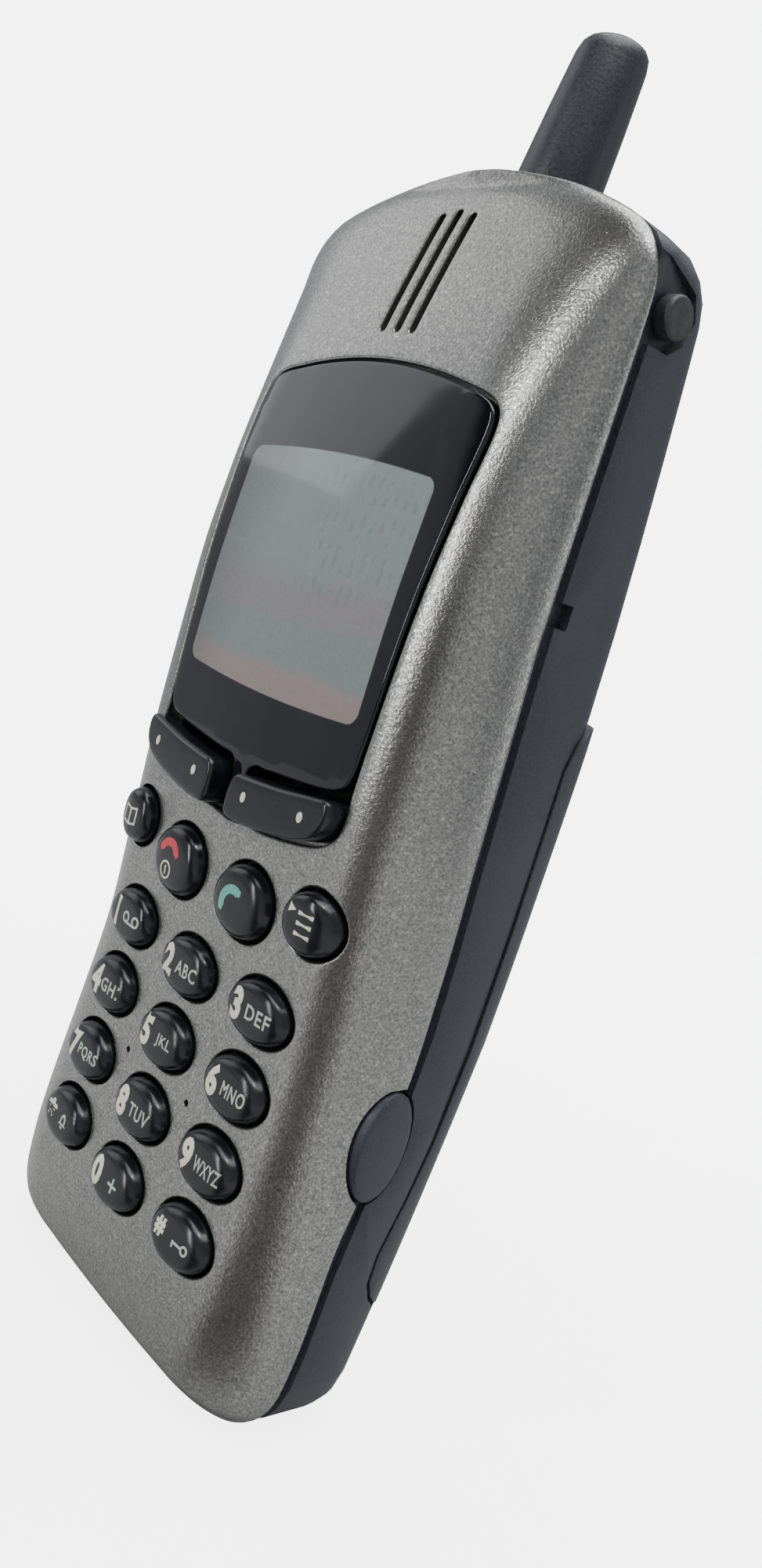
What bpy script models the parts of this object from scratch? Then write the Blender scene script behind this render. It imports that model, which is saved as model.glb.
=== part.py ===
"""Candybar mobile phone with a stub antenna, built as separate parts.

Frame: X to the right of someone facing the keypad, +Y towards the battery, +Z up
along the body.  Lengths below are millimetres; the finished meshes are scaled to
metres at the very end.  Profiles are written from the face plane and then moved by DEPTH_SHIFT
so that the finished phone is centred on the origin.
"""
import math

import bmesh
import bpy
import numpy as np

# ---- driving dimensions, millimetres ------------------------------------------
MM = 0.001
BODY_WIDTH = 47.0
BODY_LENGTH = 118.5
DEPTH_SHIFT = -10.48
FACE_CROWN = 0.0019
WALL = 1.5
TOP_ARC_RADIUS = 48.0
TOP_CORNER_RADIUS = 7.0
BOTTOM_CORNER_RADIUS = 6.0
FRONT_EDGE_WIDE = 9.0
REAR_EDGE_RADIUS = 5.0
SHELL_GAP = 0.35
SEAM_LIP = 0.7

KEY_PITCH_X = 11.7
KEY_PITCH_Z = 7.68
KEY_ROW_MIDDLE = 26.3
KEY_OUTER_LIFT = 0.62
KEY_HALF_X = 4.15
KEY_HALF_Z = 2.85
KEY_CLEARANCE = 0.35
KEY_RISE = 1.45
KEY_TRAVEL = 0.6
KEY_FLANGE_X = 0.7
KEY_FLANGE_SHARE = 0.21
KEY_FOOT_Y = 5.3
CALL_KEY_X = 5.71
CALL_KEY_ABOVE = 9.12
CALL_HALF_X = 4.05
CALL_HALF_Z = 3.55
MENU_KEY_X = 15.2
MENU_KEY_ABOVE = 10.78
MENU_HALF_X = 3.2
MENU_HALF_Z = 2.95

LCD_HALF_X = 13.7
LCD_DOWN = 29.1
LCD_HEIGHT = 23.4
LENS_THICK = 1.25
LCD_CLEARANCE = 0.40
SLOT_PITCH = 2.12
SLOT_WIDTH = 0.9
SLOT_DOWN = 4.7
SLOT_LENGTH = 12.3

ANTENNA_X = 4.2
ANTENNA_FRONT = 8.7
ANTENNA_BASE_R = 4.2
ANTENNA_TIP_R = 3.5
ANTENNA_ABOVE = 14.7
ANTENNA_LEAN = 7.5
ANTENNA_SEAT_DOWN = 4.0
ANTENNA_CLEARANCE = 0.4
ANTENNA_ROD_R = 0.85
ROD_FLANGE_R = 2.4

PLUG_Y = 12.1
PLUG_DOWN = 11.2
PLUG_R = 1.87
PAD_Y = 9.9
PAD_Z = 30.6
PAD_HALF_Z = 5.5
PAD_HALF_Y = 3.0
NOTCH_DOWN = 37.6
NOTCH_Y = 10.6

CELL_FRONT = 18.9
CELL_THICK = 2.3
CELL_CLEARANCE = 5.9
BOARD_Y = 8.0
BOARD_THICK = 1.0
BOARD_EDGE = 3.9
MAT_CLEARANCE = 2.8
SCREW_HOLE_R = 1.05

# ---- values that follow from the sizes above ------------------------------------
DESIGN_LENGTH = 118.5
STRETCH = BODY_LENGTH - DESIGN_LENGTH
STRETCH_FROM = 60.0
SIDE = BODY_WIDTH / 2
TOP_ROW = KEY_ROW_MIDDLE + 1.5 * KEY_PITCH_Z
CALL_KEY_Z = TOP_ROW + CALL_KEY_ABOVE
MENU_KEY_Z = TOP_ROW + MENU_KEY_ABOVE
LCD_TOP = BODY_LENGTH - LCD_DOWN
LCD_BOTTOM = LCD_TOP - LCD_HEIGHT
SLOT_TOP = BODY_LENGTH - SLOT_DOWN
SLOT_BOTTOM = SLOT_TOP - SLOT_LENGTH
ANTENNA_Y = ANTENNA_FRONT + ANTENNA_BASE_R
ANTENNA_TOP = BODY_LENGTH + ANTENNA_ABOVE
ANTENNA_SEAT_Z = BODY_LENGTH - ANTENNA_SEAT_DOWN
PLUG_Z = BODY_LENGTH - PLUG_DOWN
NOTCH_Z = BODY_LENGTH - NOTCH_DOWN
BOARD_HALF = SIDE - BOARD_EDGE
BOARD_BACK = BOARD_Y + BOARD_THICK
MAT_HALF = SIDE - WALL - MAT_CLEARANCE


def raised(z):
    """Height on the finished body of a height on the design length."""
    return z + STRETCH if z > STRETCH_FROM else z


def raise_all(table):
    """Profile with its upper heights moved with the body length."""
    return [(raised(z), value) for z, value in table]


# ---- profiles along the length: (height, depth) --------------------------------
FACE = [(0.0, 1.35), (11.3, 0.1), (23.0, 0.75), (36.3, 1.25), (48.0, 0.6), (61.3, 0.0),
        (74.0, -0.1), (86.3, 0.43), (99.0, 2.2), (111.3, 5.1), (118.5, 7.3)]
SEAM = [(0.0, 6.2), (4.0, 6.9), (11.0, 7.9), (19.8, 8.3), (26.3, 9.3), (38.8, 10.8), (48.0, 10.6),
        (59.3, 9.9), (72.0, 9.2), (79.0, 8.8), (92.0, 8.8), (106.0, 8.8), (112.0, 8.2), (118.5, 7.9)]
REAR = [(0.0, 17.6), (7.3, 18.3), (13.5, 19.4), (26.8, 20.6), (40.0, 21.2), (60.0, 21.9),
        (74.3, 21.8), (83.3, 21.3), (94.0, 20.4), (105.0, 19.3), (112.0, 18.4), (118.5, 17.4)]
PACK = [(10.0, 19.0), (13.5, 19.5), (20.3, 20.4), (26.8, 21.2), (33.3, 21.9), (40.0, 22.6),
        (53.0, 23.0), (68.0, 23.1), (74.0, 22.9), (80.0, 22.6)]
BAY = [(13.0, 16.3), (14.2, 14.9), (16.0, 14.0), (19.1, 14.0), (24.5, 15.3), (30.4, 16.5),
       (40.3, 17.4), (51.6, 17.6), (68.0, 17.3), (70.5, 18.0), (72.4, 19.9), (73.0, 24.5)]
FACE = raise_all(FACE)
SEAM = raise_all(SEAM)
REAR = raise_all(REAR)
PACK = raise_all(PACK)
BAY = raise_all(BAY)


def spline(table, z):
    """Smooth curve through the table, flat-tangent limited so it never overshoots."""
    zs = np.array([p[0] for p in table], float)
    vs = np.array([p[1] for p in table], float)
    step = np.diff(zs)
    slope = np.diff(vs) / step
    tangent = np.zeros(len(zs))
    tangent[0], tangent[-1] = slope[0], slope[-1]
    for i in range(1, len(zs) - 1):
        if slope[i - 1] * slope[i] > 0.0:
            w1 = 2.0 * step[i] + step[i - 1]
            w2 = step[i] + 2.0 * step[i - 1]
            tangent[i] = (w1 + w2) / (w1 / slope[i - 1] + w2 / slope[i])
    z = min(max(z, zs[0]), zs[-1])
    i = min(int(np.searchsorted(zs, z, side="right")) - 1, len(step) - 1)
    t = (z - zs[i]) / step[i]
    h = step[i]
    return float((2 * t**3 - 3 * t**2 + 1) * vs[i] + (t**3 - 2 * t**2 + t) * h * tangent[i]
                 + (-2 * t**3 + 3 * t**2) * vs[i + 1] + (t**3 - t**2) * h * tangent[i + 1])


def half_width(z):
    """Half width of the body outline seen from the front."""
    w = BODY_WIDTH / 2
    if z < BOTTOM_CORNER_RADIUS:
        r = BOTTOM_CORNER_RADIUS
        return w - r + math.sqrt(max(r * r - (r - z)**2, 0.0))
    reach = TOP_ARC_RADIUS - TOP_CORNER_RADIUS
    arc_z = BODY_LENGTH - TOP_ARC_RADIUS
    corner_x = w - TOP_CORNER_RADIUS
    corner_z = arc_z + math.sqrt(reach**2 - corner_x**2)
    if z <= corner_z:
        return w
    switch = arc_z + TOP_ARC_RADIUS * (corner_z - arc_z) / reach
    if z < switch:
        return corner_x + math.sqrt(max(TOP_CORNER_RADIUS**2 - (z - corner_z)**2, 0.0))
    return math.sqrt(max(TOP_ARC_RADIUS**2 - (z - arc_z)**2, 0.0))


def end_round(z, radius, foot):
    """Extra depth that rounds the front and rear edges into the two ends."""
    extra = 0.0
    if z < foot:
        extra = foot - math.sqrt(max(foot**2 - (foot - z)**2, 0.0))
    top = BODY_LENGTH - z
    if top < radius:
        extra = max(extra, radius - math.sqrt(max(radius**2 - (radius - top)**2, 0.0)))
    return extra


def face_depth(x, z, inset=0.0):
    """Front surface depth at a point of the face, set back by inset."""
    seam = spline(SEAM, z)
    front = min(spline(FACE, z) + end_round(z, 3.0, 3.6), seam - 0.9)
    hw = half_width(z)
    wide = min(FRONT_EDGE_WIDE + 5.0 * max(0.0, (z - raised(80.0)) / 38.0), hw - 0.5)
    flat = hw - wide
    crown = FACE_CROWN * min(abs(x), flat)**2
    ax = abs(x) - flat
    if ax <= 0.0:
        return front + crown + inset
    reach = max(seam - front - crown, 0.2)
    s = min(ax / wide, 1.0)
    return seam - reach * math.sqrt(max(1.0 - s**2.0, 0.0)) + inset


def make(name, verts, faces, shift=True):
    """New object from millimetre points, moved to the finished frame."""
    mesh = bpy.data.meshes.new(name)
    dy = DEPTH_SHIFT if shift else 0.0
    mesh.from_pydata([(v[0], v[1] + dy, v[2]) for v in verts], [], faces)
    bm = bmesh.new()
    bm.from_mesh(mesh)
    bmesh.ops.remove_doubles(bm, verts=bm.verts, dist=0.002)
    bmesh.ops.triangulate(bm, faces=bm.faces)
    bmesh.ops.recalc_face_normals(bm, faces=bm.faces)
    if bm.calc_volume(signed=True) < 0.0:
        bmesh.ops.reverse_faces(bm, faces=bm.faces)
    bm.to_mesh(mesh)
    bm.free()
    obj = bpy.data.objects.new(name, mesh)
    bpy.context.scene.collection.objects.link(obj)
    return obj


def loft(name, rings):
    """Closed solid through a list of rings with the same number of points."""
    n = len(rings[0])
    verts = [p for ring in rings for p in ring]
    faces = []
    for r in range(len(rings) - 1):
        for i in range(n):
            j = (i + 1) % n
            faces.append((r * n + i, r * n + j, (r + 1) * n + j, (r + 1) * n + i))
    faces.append(tuple(range(n - 1, -1, -1)))
    last = (len(rings) - 1) * n
    faces.append(tuple(range(last, last + n)))
    return make(name, verts, faces)


def prism(name, outline, axis, low, high):
    """Straight extrusion of a 2-D outline along x, y or z."""
    def place(a, b, c):
        if axis == "x":
            return (c, a, b)
        if axis == "y":
            return (a, c, b)
        return (a, b, c)
    return loft(name, [[place(a, b, low) for a, b in outline], [place(a, b, high) for a, b in outline]])


def box(name, low, high):
    """Plain box between two corners."""
    outline = [(low[0], low[1]), (high[0], low[1]), (high[0], high[1]), (low[0], high[1])]
    return prism(name, outline, "z", low[2], high[2])


def oval(cx, cz, rx, rz, n=28):
    """Points of an ellipse."""
    turns = [2 * math.pi * i / n for i in range(n)]
    return [(cx + rx * math.cos(a), cz + rz * math.sin(a)) for a in turns]


def rounded(x0, z0, x1, z1, r, n=4):
    """Rectangle outline with rounded corners."""
    points = []
    corners = ((x1 - r, z1 - r, 0), (x0 + r, z1 - r, 90), (x0 + r, z0 + r, 180), (x1 - r, z0 + r, 270))
    for cx, cz, start in corners:
        for i in range(n + 1):
            a = math.radians(start + 90.0 * i / n)
            points.append((cx + r * math.cos(a), cz + r * math.sin(a)))
    return points


def tube(name, cx, cy, cz, axis, stations, n=24):
    """Turned solid: stations are (distance along axis, radius)."""
    rings = []
    for d, r in stations:
        ring = []
        for i in range(n):
            a = 2 * math.pi * i / n
            u, v = r * math.cos(a), r * math.sin(a)
            if axis == "x":
                ring.append((cx + d, cy + u, cz + v))
            elif axis == "y":
                ring.append((cx + u, cy + d, cz + v))
            else:
                ring.append((cx + u, cy + v, cz + d))
        rings.append(ring)
    return loft(name, rings)


def combine(target, tools, how):
    """Apply exact Booleans to target and remove the tools."""
    for tool in tools:
        mod = target.modifiers.new("cut", "BOOLEAN")
        mod.operation = how
        mod.solver = "EXACT"
        mod.object = tool
        deps = bpy.context.evaluated_depsgraph_get()
        deps.update()
        baked = bpy.data.meshes.new_from_object(target.evaluated_get(deps))
        target.modifiers.clear()
        old = target.data
        target.data = baked
        bpy.data.meshes.remove(old)
        bpy.data.objects.remove(tool, do_unlink=True)
        bm = bmesh.new()
        bm.from_mesh(baked)
        bmesh.ops.triangulate(bm, faces=bm.faces)
        bmesh.ops.dissolve_degenerate(bm, dist=0.0002, edges=bm.edges)
        bmesh.ops.triangulate(bm, faces=bm.faces)
        bm.to_mesh(baked)
        bm.free()
    return target


def cut(target, *tools):
    return combine(target, tools, "DIFFERENCE")


def join(target, *tools):
    return combine(target, tools, "UNION")


def keep(target, *tools):
    return combine(target, tools, "INTERSECT")


# ---- body solids --------------------------------------------------------------
def levels(low, high, count):
    """Heights that bunch up at the two rounded ends of the body."""
    base = [0.0, 0.35, 1.0, 2.0, 3.6, 6.0]
    base += list(np.linspace(9.5, BODY_LENGTH - 13.5, count))
    base += [BODY_LENGTH - down for down in (10.5, 8.5, 6.7, 5.2, 3.9, 2.7, 1.7, 1.0, 0.5, 0.15)]
    return [z for z in base if low < z < high] if low > 0 or high < BODY_LENGTH else base


def front_ring(z, inset, reach):
    """One height of the front half: across the face, closed beyond the seam."""
    hw = max(half_width(z) - inset, 0.6)
    seam = spline(SEAM, z)
    xs = []
    for s in np.linspace(-1.0, 1.0, 25):
        xs.append(hw * math.sin(math.pi / 2 * s)**1 if abs(s) < 1.0 else hw * s)
    ring = []
    for x in xs:
        if inset == 0.0:
            y = face_depth(x, z)
        else:
            scale = half_width(z) / hw
            y = min(face_depth(x * scale, z) + inset, seam + reach)
        ring.append((x, y, z))
    ring[0] = (xs[0], max(seam + reach, ring[0][1]), z)
    ring[-1] = (xs[-1], max(seam + reach, ring[-1][1]), z)
    if reach > 0.0:
        ring[0] = (xs[0], seam + reach, z)
        ring[-1] = (xs[-1], seam + reach, z)
    return ring


def rear_ring(z, table, inset, lip, foot=2.6, setback=0.0):
    """One height of the rear half, from the seam back, with a stepped lip."""
    w = half_width(z)
    hw = max(w - inset, 0.6)
    seam = spline(SEAM, z)
    back = spline(table, z) - end_round(z, 3.4, foot) - inset
    r = min(REAR_EDGE_RADIUS, hw - 0.4, max(back - seam - 2.2, 0.3))
    start = seam + SHELL_GAP + setback if lip else seam - 1.5
    step = seam + SHELL_GAP + 0.75 if lip else seam - 0.7
    inner = max(hw - SEAM_LIP, 0.3) if lip else hw
    half = [(inner, start), (inner, step), (hw, step + 0.01), (hw, max(back - r, step + 0.3))]
    low = max(back - r, step + 0.3)
    for i in range(1, 7):
        a = math.radians(15.0 * i)
        half.append((hw - r + r * math.cos(a), low + (back - low) * math.sin(a)))
    half.append(((hw - r) * 0.5, back + 0.0))
    right = [(x, y, z) for x, y in half]
    left = [(-x, y, z) for x, y in reversed(half)]
    return right + left


def front_solid(name, inset, reach, low, high, count=20):
    return loft(name, [front_ring(z, inset, reach) for z in levels(low, high, count)])


def window_outline(grow):
    """Display window seen from the front: arched top, sides drawn in downwards."""
    points = []
    low = TOP_ROW - 37.82
    lower = [(0.55, 53.6), (1.0, 57.4), (1.6, 59.1), (4.0, 59.35), (8.5, 59.75), (13.2, 60.4), (14.8, 61.4)]
    side = [(15.35, 64.5), (15.7, 72.0), (16.1, 80.0), (16.55, 88.0), (16.75, 93.0)]
    top = [(16.4, 95.2), (15.2, 96.3), (12.0, 97.15), (8.0, 97.9), (4.0, 98.35), (0.0, 98.5)]
    right = [(x, z + low) for x, z in lower] + raise_all(side + top)
    full = right + [(-x, z) for x, z in reversed(right[:-1])]
    n = len(full)
    for i in range(n):
        a, b, c = full[i - 1], full[i], full[(i + 1) % n]
        tx, tz = c[0] - a[0], c[1] - a[1]
        length = math.hypot(tx, tz)
        points.append((b[0] + grow * tz / length, b[1] - grow * tx / length))
    return points


def softkey_outline(side, grow):
    """One bar key: flat top under the window, lower edge curved like a smile."""
    pts = [(1.75, 54.6), (2.6, 54.05), (6.0, 54.2), (10.5, 54.9), (13.4, 55.75), (14.9, 57.0), (15.35, 58.6),
           (14.9, 59.65), (13.4, 59.6), (8.5, 58.9), (4.0, 58.5), (2.3, 58.3), (1.65, 57.2)]
    low = TOP_ROW - 37.82
    pts = [(x, z + low) for x, z in pts]
    out = []
    n = len(pts)
    for i in range(n):
        a, b, c = pts[i - 1], pts[i], pts[(i + 1) % n]
        tx, tz = c[0] - a[0], c[1] - a[1]
        length = math.hypot(tx, tz)
        out.append((side * (b[0] + grow * tz / length), b[1] - grow * tx / length))
    return out


def key_cap(name, cx, cz, hx, hz, rise, flange):
    """Domed oval key with a wider flange under the shell."""
    n = 20
    spare = (KEY_PITCH_Z - 2.0 * KEY_HALF_Z) * KEY_FLANGE_SHARE
    flange_ring = oval(cx, cz, hx + flange, hz + flange * spare / KEY_FLANGE_X, n)
    inside = max(face_depth(x * BODY_WIDTH / (BODY_WIDTH - 2 * WALL), z) for x, z in flange_ring)
    under = inside + WALL + 0.3
    rings = []
    for s, lift in ((0.34, 1.0), (0.64, 0.94), (0.82, 0.78), (0.93, 0.48), (1.0, 0.0)):
        ring = []
        for x, z in oval(cx, cz, hx * s, hz * s, n):
            ring.append((x, face_depth(x, z) - rise * lift - 0.10, z))
        rings.append(ring)
    rings.append([(x, under, z) for x, z in oval(cx, cz, hx, hz, n)])
    rings.append([(x, under, z) for x, z in flange_ring])
    rings.append([(x, KEY_FOOT_Y, z) for x, z in flange_ring])
    return loft(name, rings)


def key_table():
    """Name, centre and half sizes of every round key."""
    keys = []
    names = [["key_1", "key_2", "key_3"], ["key_4", "key_5", "key_6"],
             ["key_7", "key_8", "key_9"], ["key_star", "key_0", "key_hash"]]
    for row in range(4):
        for col in range(3):
            x = (col - 1) * KEY_PITCH_X
            z = TOP_ROW - row * KEY_PITCH_Z
            if col != 1:
                z += KEY_OUTER_LIFT
            keys.append((names[row][col], x, z, KEY_HALF_X, KEY_HALF_Z))
    keys.append(("key_end", -CALL_KEY_X, CALL_KEY_Z, CALL_HALF_X, CALL_HALF_Z))
    keys.append(("key_call", CALL_KEY_X, CALL_KEY_Z, CALL_HALF_X, CALL_HALF_Z))
    keys.append(("key_phonebook", -MENU_KEY_X, MENU_KEY_Z, MENU_HALF_X, MENU_HALF_Z))
    keys.append(("key_menu", MENU_KEY_X, MENU_KEY_Z, MENU_HALF_X, MENU_HALF_Z))
    return keys


SCREW_IN_LOW = WALL + 2.6
SCREW_IN_HIGH = WALL + 3.4
SCREWS = [(-SIDE + SCREW_IN_LOW, 6.9), (SIDE - SCREW_IN_LOW, 6.9),
          (-SIDE + SCREW_IN_HIGH, raised(100.5)), (SIDE - SCREW_IN_HIGH, raised(100.5))]


def build_front_shell():
    shell = front_solid("front_shell", 0.0, 0.0, -1.0, 200.0, 17)
    rings = [front_ring(z, WALL, 3.0) for z in np.linspace(2.2, BODY_LENGTH - 3.3, 18)]
    cut(shell, loft("hollow", rings))
    # thicker bed behind the window, closed over the display
    bed = prism("bed", rounded(-18.0, 52.0, 18.0, raised(99.5), 2.0, 2), "y", 0.6, 1.9 + WALL)
    trim = front_solid("trim", 0.3, 0.5, -1.0, 200.0, 17)
    keep(bed, trim)
    join(shell, bed)
    bosses = []
    for i, (x, z) in enumerate(SCREWS):
        seam = spline(SEAM, z)
        outer = tube("boss", x, 0.0, z, "y", [(face_depth(x, z) + 0.6, 2.3), (seam - 0.1, 2.3)], 16)
        cut(outer, tube("hole", x, 0.0, z, "y", [(seam - 3.9, SCREW_HOLE_R), (seam + 3.0, SCREW_HOLE_R)], 16))
        keep(outer, front_solid("trim", 0.3, 0.5, -1.0, 200.0, 17))
        bosses.append(outer)
    join(shell, *bosses)
    holes = []
    for name, x, z, hx, hz in key_table():
        out = oval(x, z, hx + KEY_CLEARANCE, hz + KEY_CLEARANCE, 20)
        holes.append(prism("hole", out, "y", -4.0, KEY_FOOT_Y))
    for side in (-1, 1):
        holes.append(prism("hole", softkey_outline(side, KEY_CLEARANCE), "y", -4.0, 5.0))
    recess = prism("recess", window_outline(0.3), "y", -4.0, 6.0)
    keep(recess, face_slab("slab", 6.0, LENS_THICK + 0.3))
    holes.append(recess)
    sight = rounded(-LCD_HALF_X - 0.9, LCD_BOTTOM - 1.1, LCD_HALF_X + 0.9, LCD_TOP + 1.0, 1.0, 2)
    holes.append(prism("hole", sight, "y", -4.0, 5.0))
    for i in (-1, 0, 1):
        low = SLOT_BOTTOM
        high = SLOT_TOP + (0.4 if i == 0 else 0.0)
        x = i * SLOT_PITCH
        slot = rounded(x - SLOT_WIDTH / 2, low, x + SLOT_WIDTH / 2, high, 0.44, 2)
        holes.append(prism("hole", slot, "y", -2.0, 8.6))
    for x, z in ((-KEY_PITCH_X * 0.4915, KEY_ROW_MIDDLE - 0.2), (KEY_PITCH_X * 0.4915, KEY_ROW_MIDDLE - 0.2)):
        holes.append(tube("hole", x, 0.0, z, "y", [(-3.0, 0.33), (1.5, 0.33)], 8))
    side_button = oval(PAD_Y, PAD_Z, PAD_HALF_Y + KEY_CLEARANCE, PAD_HALF_Z + KEY_CLEARANCE, 28)
    holes.append(prism("hole", side_button, "x", -SIDE - 16.5, SIDE + 16.5))
    holes.append(tube("hole", 0.0, 5.2, 0.0, "z", [(-2.0, 0.7), (4.0, 0.7)], 10))
    cut(shell, *holes)
    return shell


def bay_outline(grow):
    """Battery bay seen from the side; grow moves the line into the battery."""
    pts = list(BAY)
    out = []
    for i in range(len(pts)):
        a = pts[max(i - 1, 0)]
        c = pts[min(i + 1, len(pts) - 1)]
        tz, ty = c[0] - a[0], c[1] - a[1]
        length = math.hypot(tz, ty)
        out.append((pts[i][1] + grow * tz / length, pts[i][0] - grow * ty / length))
    out.append((40.0, out[-1][1]))
    out.append((40.0, out[0][1]))
    return out


def rear_rings(table, inset, lip, zs):
    return [rear_ring(z, table, inset, lip) for z in zs]


def build_rear_shell():
    shell = loft("rear_shell", rear_rings(REAR, 0.0, True, levels(-1.0, 200.0, 13)))
    zs = np.linspace(1.9, BODY_LENGTH - 3.1, 16)
    inner = rear_rings(REAR, WALL, False, zs)
    keepout = loft("hollow", inner)
    floor = bay_outline(-1.3)
    cut(keepout, prism("floor", floor, "x", -60.0, 60.0))
    cut(shell, keepout)
    cut(shell, prism("bay", bay_outline(0.0), "x", -60.0, 60.0))
    bosses = []
    for x, z in SCREWS:
        seam = spline(SEAM, z)
        back = spline(REAR, z) - 1.0
        bosses.append(tube("boss", x, 0.0, z, "y", [(seam + SHELL_GAP, 2.2), (back, 2.2)], 14))
    seat_r = ANTENNA_BASE_R + ANTENNA_CLEARANCE
    above = ANTENNA_SEAT_Z + 10.5
    bosses.append(tube("boss", ANTENNA_X, ANTENNA_Y, 0.0, "z",
                       [(ANTENNA_SEAT_Z - 2.9, seat_r + 0.8), (above, seat_r + 0.8)], 28))
    limit = loft("limit", [rear_ring(z, REAR, 0.37, True, 2.6, 0.17) for z in levels(-1.0, 200.0, 12)])
    for boss in bosses:
        copy = limit.copy()
        copy.data = limit.data.copy()
        bpy.context.scene.collection.objects.link(copy)
        keep(boss, copy)
    bpy.data.objects.remove(limit, do_unlink=True)
    join(shell, *bosses)
    holes = []
    for x, z in SCREWS:
        seam = spline(SEAM, z)
        bore = [(seam - 2.0, 1.3), (seam + 2.6, 1.3), (seam + 2.61, 1.8), (40.0, 1.8)]
        holes.append(tube("hole", x, 0.0, z, "y", bore, 14))
    side_button = oval(PAD_Y, PAD_Z, PAD_HALF_Y + KEY_CLEARANCE, PAD_HALF_Z + KEY_CLEARANCE, 28)
    holes.append(prism("hole", side_button, "x", -SIDE - 16.5, SIDE + 16.5))
    pocket = [(-3.5, -3.1), (-3.5, 4.7), (-1.5, 4.5), (2.2, 2.7), (2.9, 0.6), (2.2, -1.7), (0.5, -3.0)]
    pocket = [(y + PLUG_Y, z + PLUG_Z) for y, z in pocket]
    holes.append(prism("hole", pocket, "x", SIDE - 1.3, SIDE + 6.5))
    holes.append(tube("hole", 0.0, PLUG_Y, PLUG_Z, "x", [(SIDE - 5.5, 1.15), (SIDE - 0.5, 1.15)], 16))
    holes.append(box("hole", (SIDE - 1.2, NOTCH_Y - 2.2, NOTCH_Z - 1.1),
                     (SIDE + 6.5, NOTCH_Y + 0.9, NOTCH_Z + 1.1)))
    rod_hole = ROD_FLANGE_R + KEY_CLEARANCE
    holes.append(tube("hole", ANTENNA_X, ANTENNA_Y, 0.0, "z",
                      [(ANTENNA_SEAT_Z - 6.5, rod_hole), (above, rod_hole)], 24))
    seat = [(ANTENNA_SEAT_Z, seat_r), (above, seat_r)]
    holes.append(tube("hole", ANTENNA_X, ANTENNA_Y, 0.0, "z", seat, 28))
    holes.append(box("hole", (-11.2, 7.6, -2.0), (11.2, 11.6, 4.5)))
    holes.append(box("hole", (-12.9, 12.0, 25.5), (12.9, 20.0, 44.0)))
    holes.append(box("hole", (-6.5, 12.0, raised(62.6)), (6.5, 20.0, raised(67.4))))
    cut(shell, *holes)
    return shell


def build_battery():
    zs = [12.0, 13.0, 14.5, 17.0, 20.0] + list(np.linspace(24.0, raised(68.0), 9))
    zs += [raised(70.0), raised(72.0), raised(73.5)]
    rings = [rear_ring(z, PACK, 0.0, False, 2.6) for z in zs]
    cover = loft("battery_cover", rings)
    keep(cover, prism("limit", bay_outline(0.35), "x", -60.0, 60.0))
    inner = [rear_ring(z, PACK, 1.0, False, 2.6) for z in np.linspace(16.7, raised(70.3), 9)]
    room = loft("room", inner)
    cut(cover, room)
    tray = [rear_ring(z, PACK, 1.35, False, 2.6) for z in np.linspace(16.9, raised(69.9), 12)]
    base = loft("battery_base", tray)
    keep(base, prism("limit", bay_outline(0.4), "x", -60.0, 60.0))
    cut(base, prism("limit", bay_outline(1.05), "x", -60.0, 60.0))
    for side, name in ((-1, "battery_cell_left"), (1, "battery_cell_right")):
        x0, x1 = sorted((side * 0.4, side * (SIDE - CELL_CLEARANCE)))
        cell = rounded(x0, 39.5, x1, raised(67.8), 1.2, 3)
        prism(name, cell, "y", CELL_FRONT, CELL_FRONT + CELL_THICK)
    box("battery_circuit", (-SIDE + 7.5, CELL_FRONT - 0.8, 20.5), (SIDE - 7.5, CELL_FRONT, 32.0))
    return cover, base


def face_slab(name, above, below):
    """Slab that follows the face, from above in front of it to below behind it."""
    xs = np.linspace(-19.0, 19.0, 15)
    zs = np.linspace(50.0, raised(101.0), 12)
    verts = []
    for offset in (-above, below):
        for z in zs:
            for x in xs:
                verts.append((x, face_depth(x, z) + offset, z))
    front = len(xs) * len(zs)
    faces = []
    n = len(xs)
    m = len(zs)
    for j in range(m - 1):
        for i in range(n - 1):
            a = j * n + i
            faces.append((a, a + 1, a + n + 1, a + n))
            faces.append((front + a, front + a + n, front + a + n + 1, front + a + 1))
    for i in range(n - 1):
        faces.append((i, front + i, front + i + 1, i + 1))
        b = (m - 1) * n + i
        faces.append((b, b + 1, front + b + 1, front + b))
    for j in range(m - 1):
        a = j * n
        faces.append((a, a + n, front + a + n, front + a))
        b = j * n + n - 1
        faces.append((b, front + b, front + b + n, b + n))
    return make(name, verts, faces)


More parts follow.
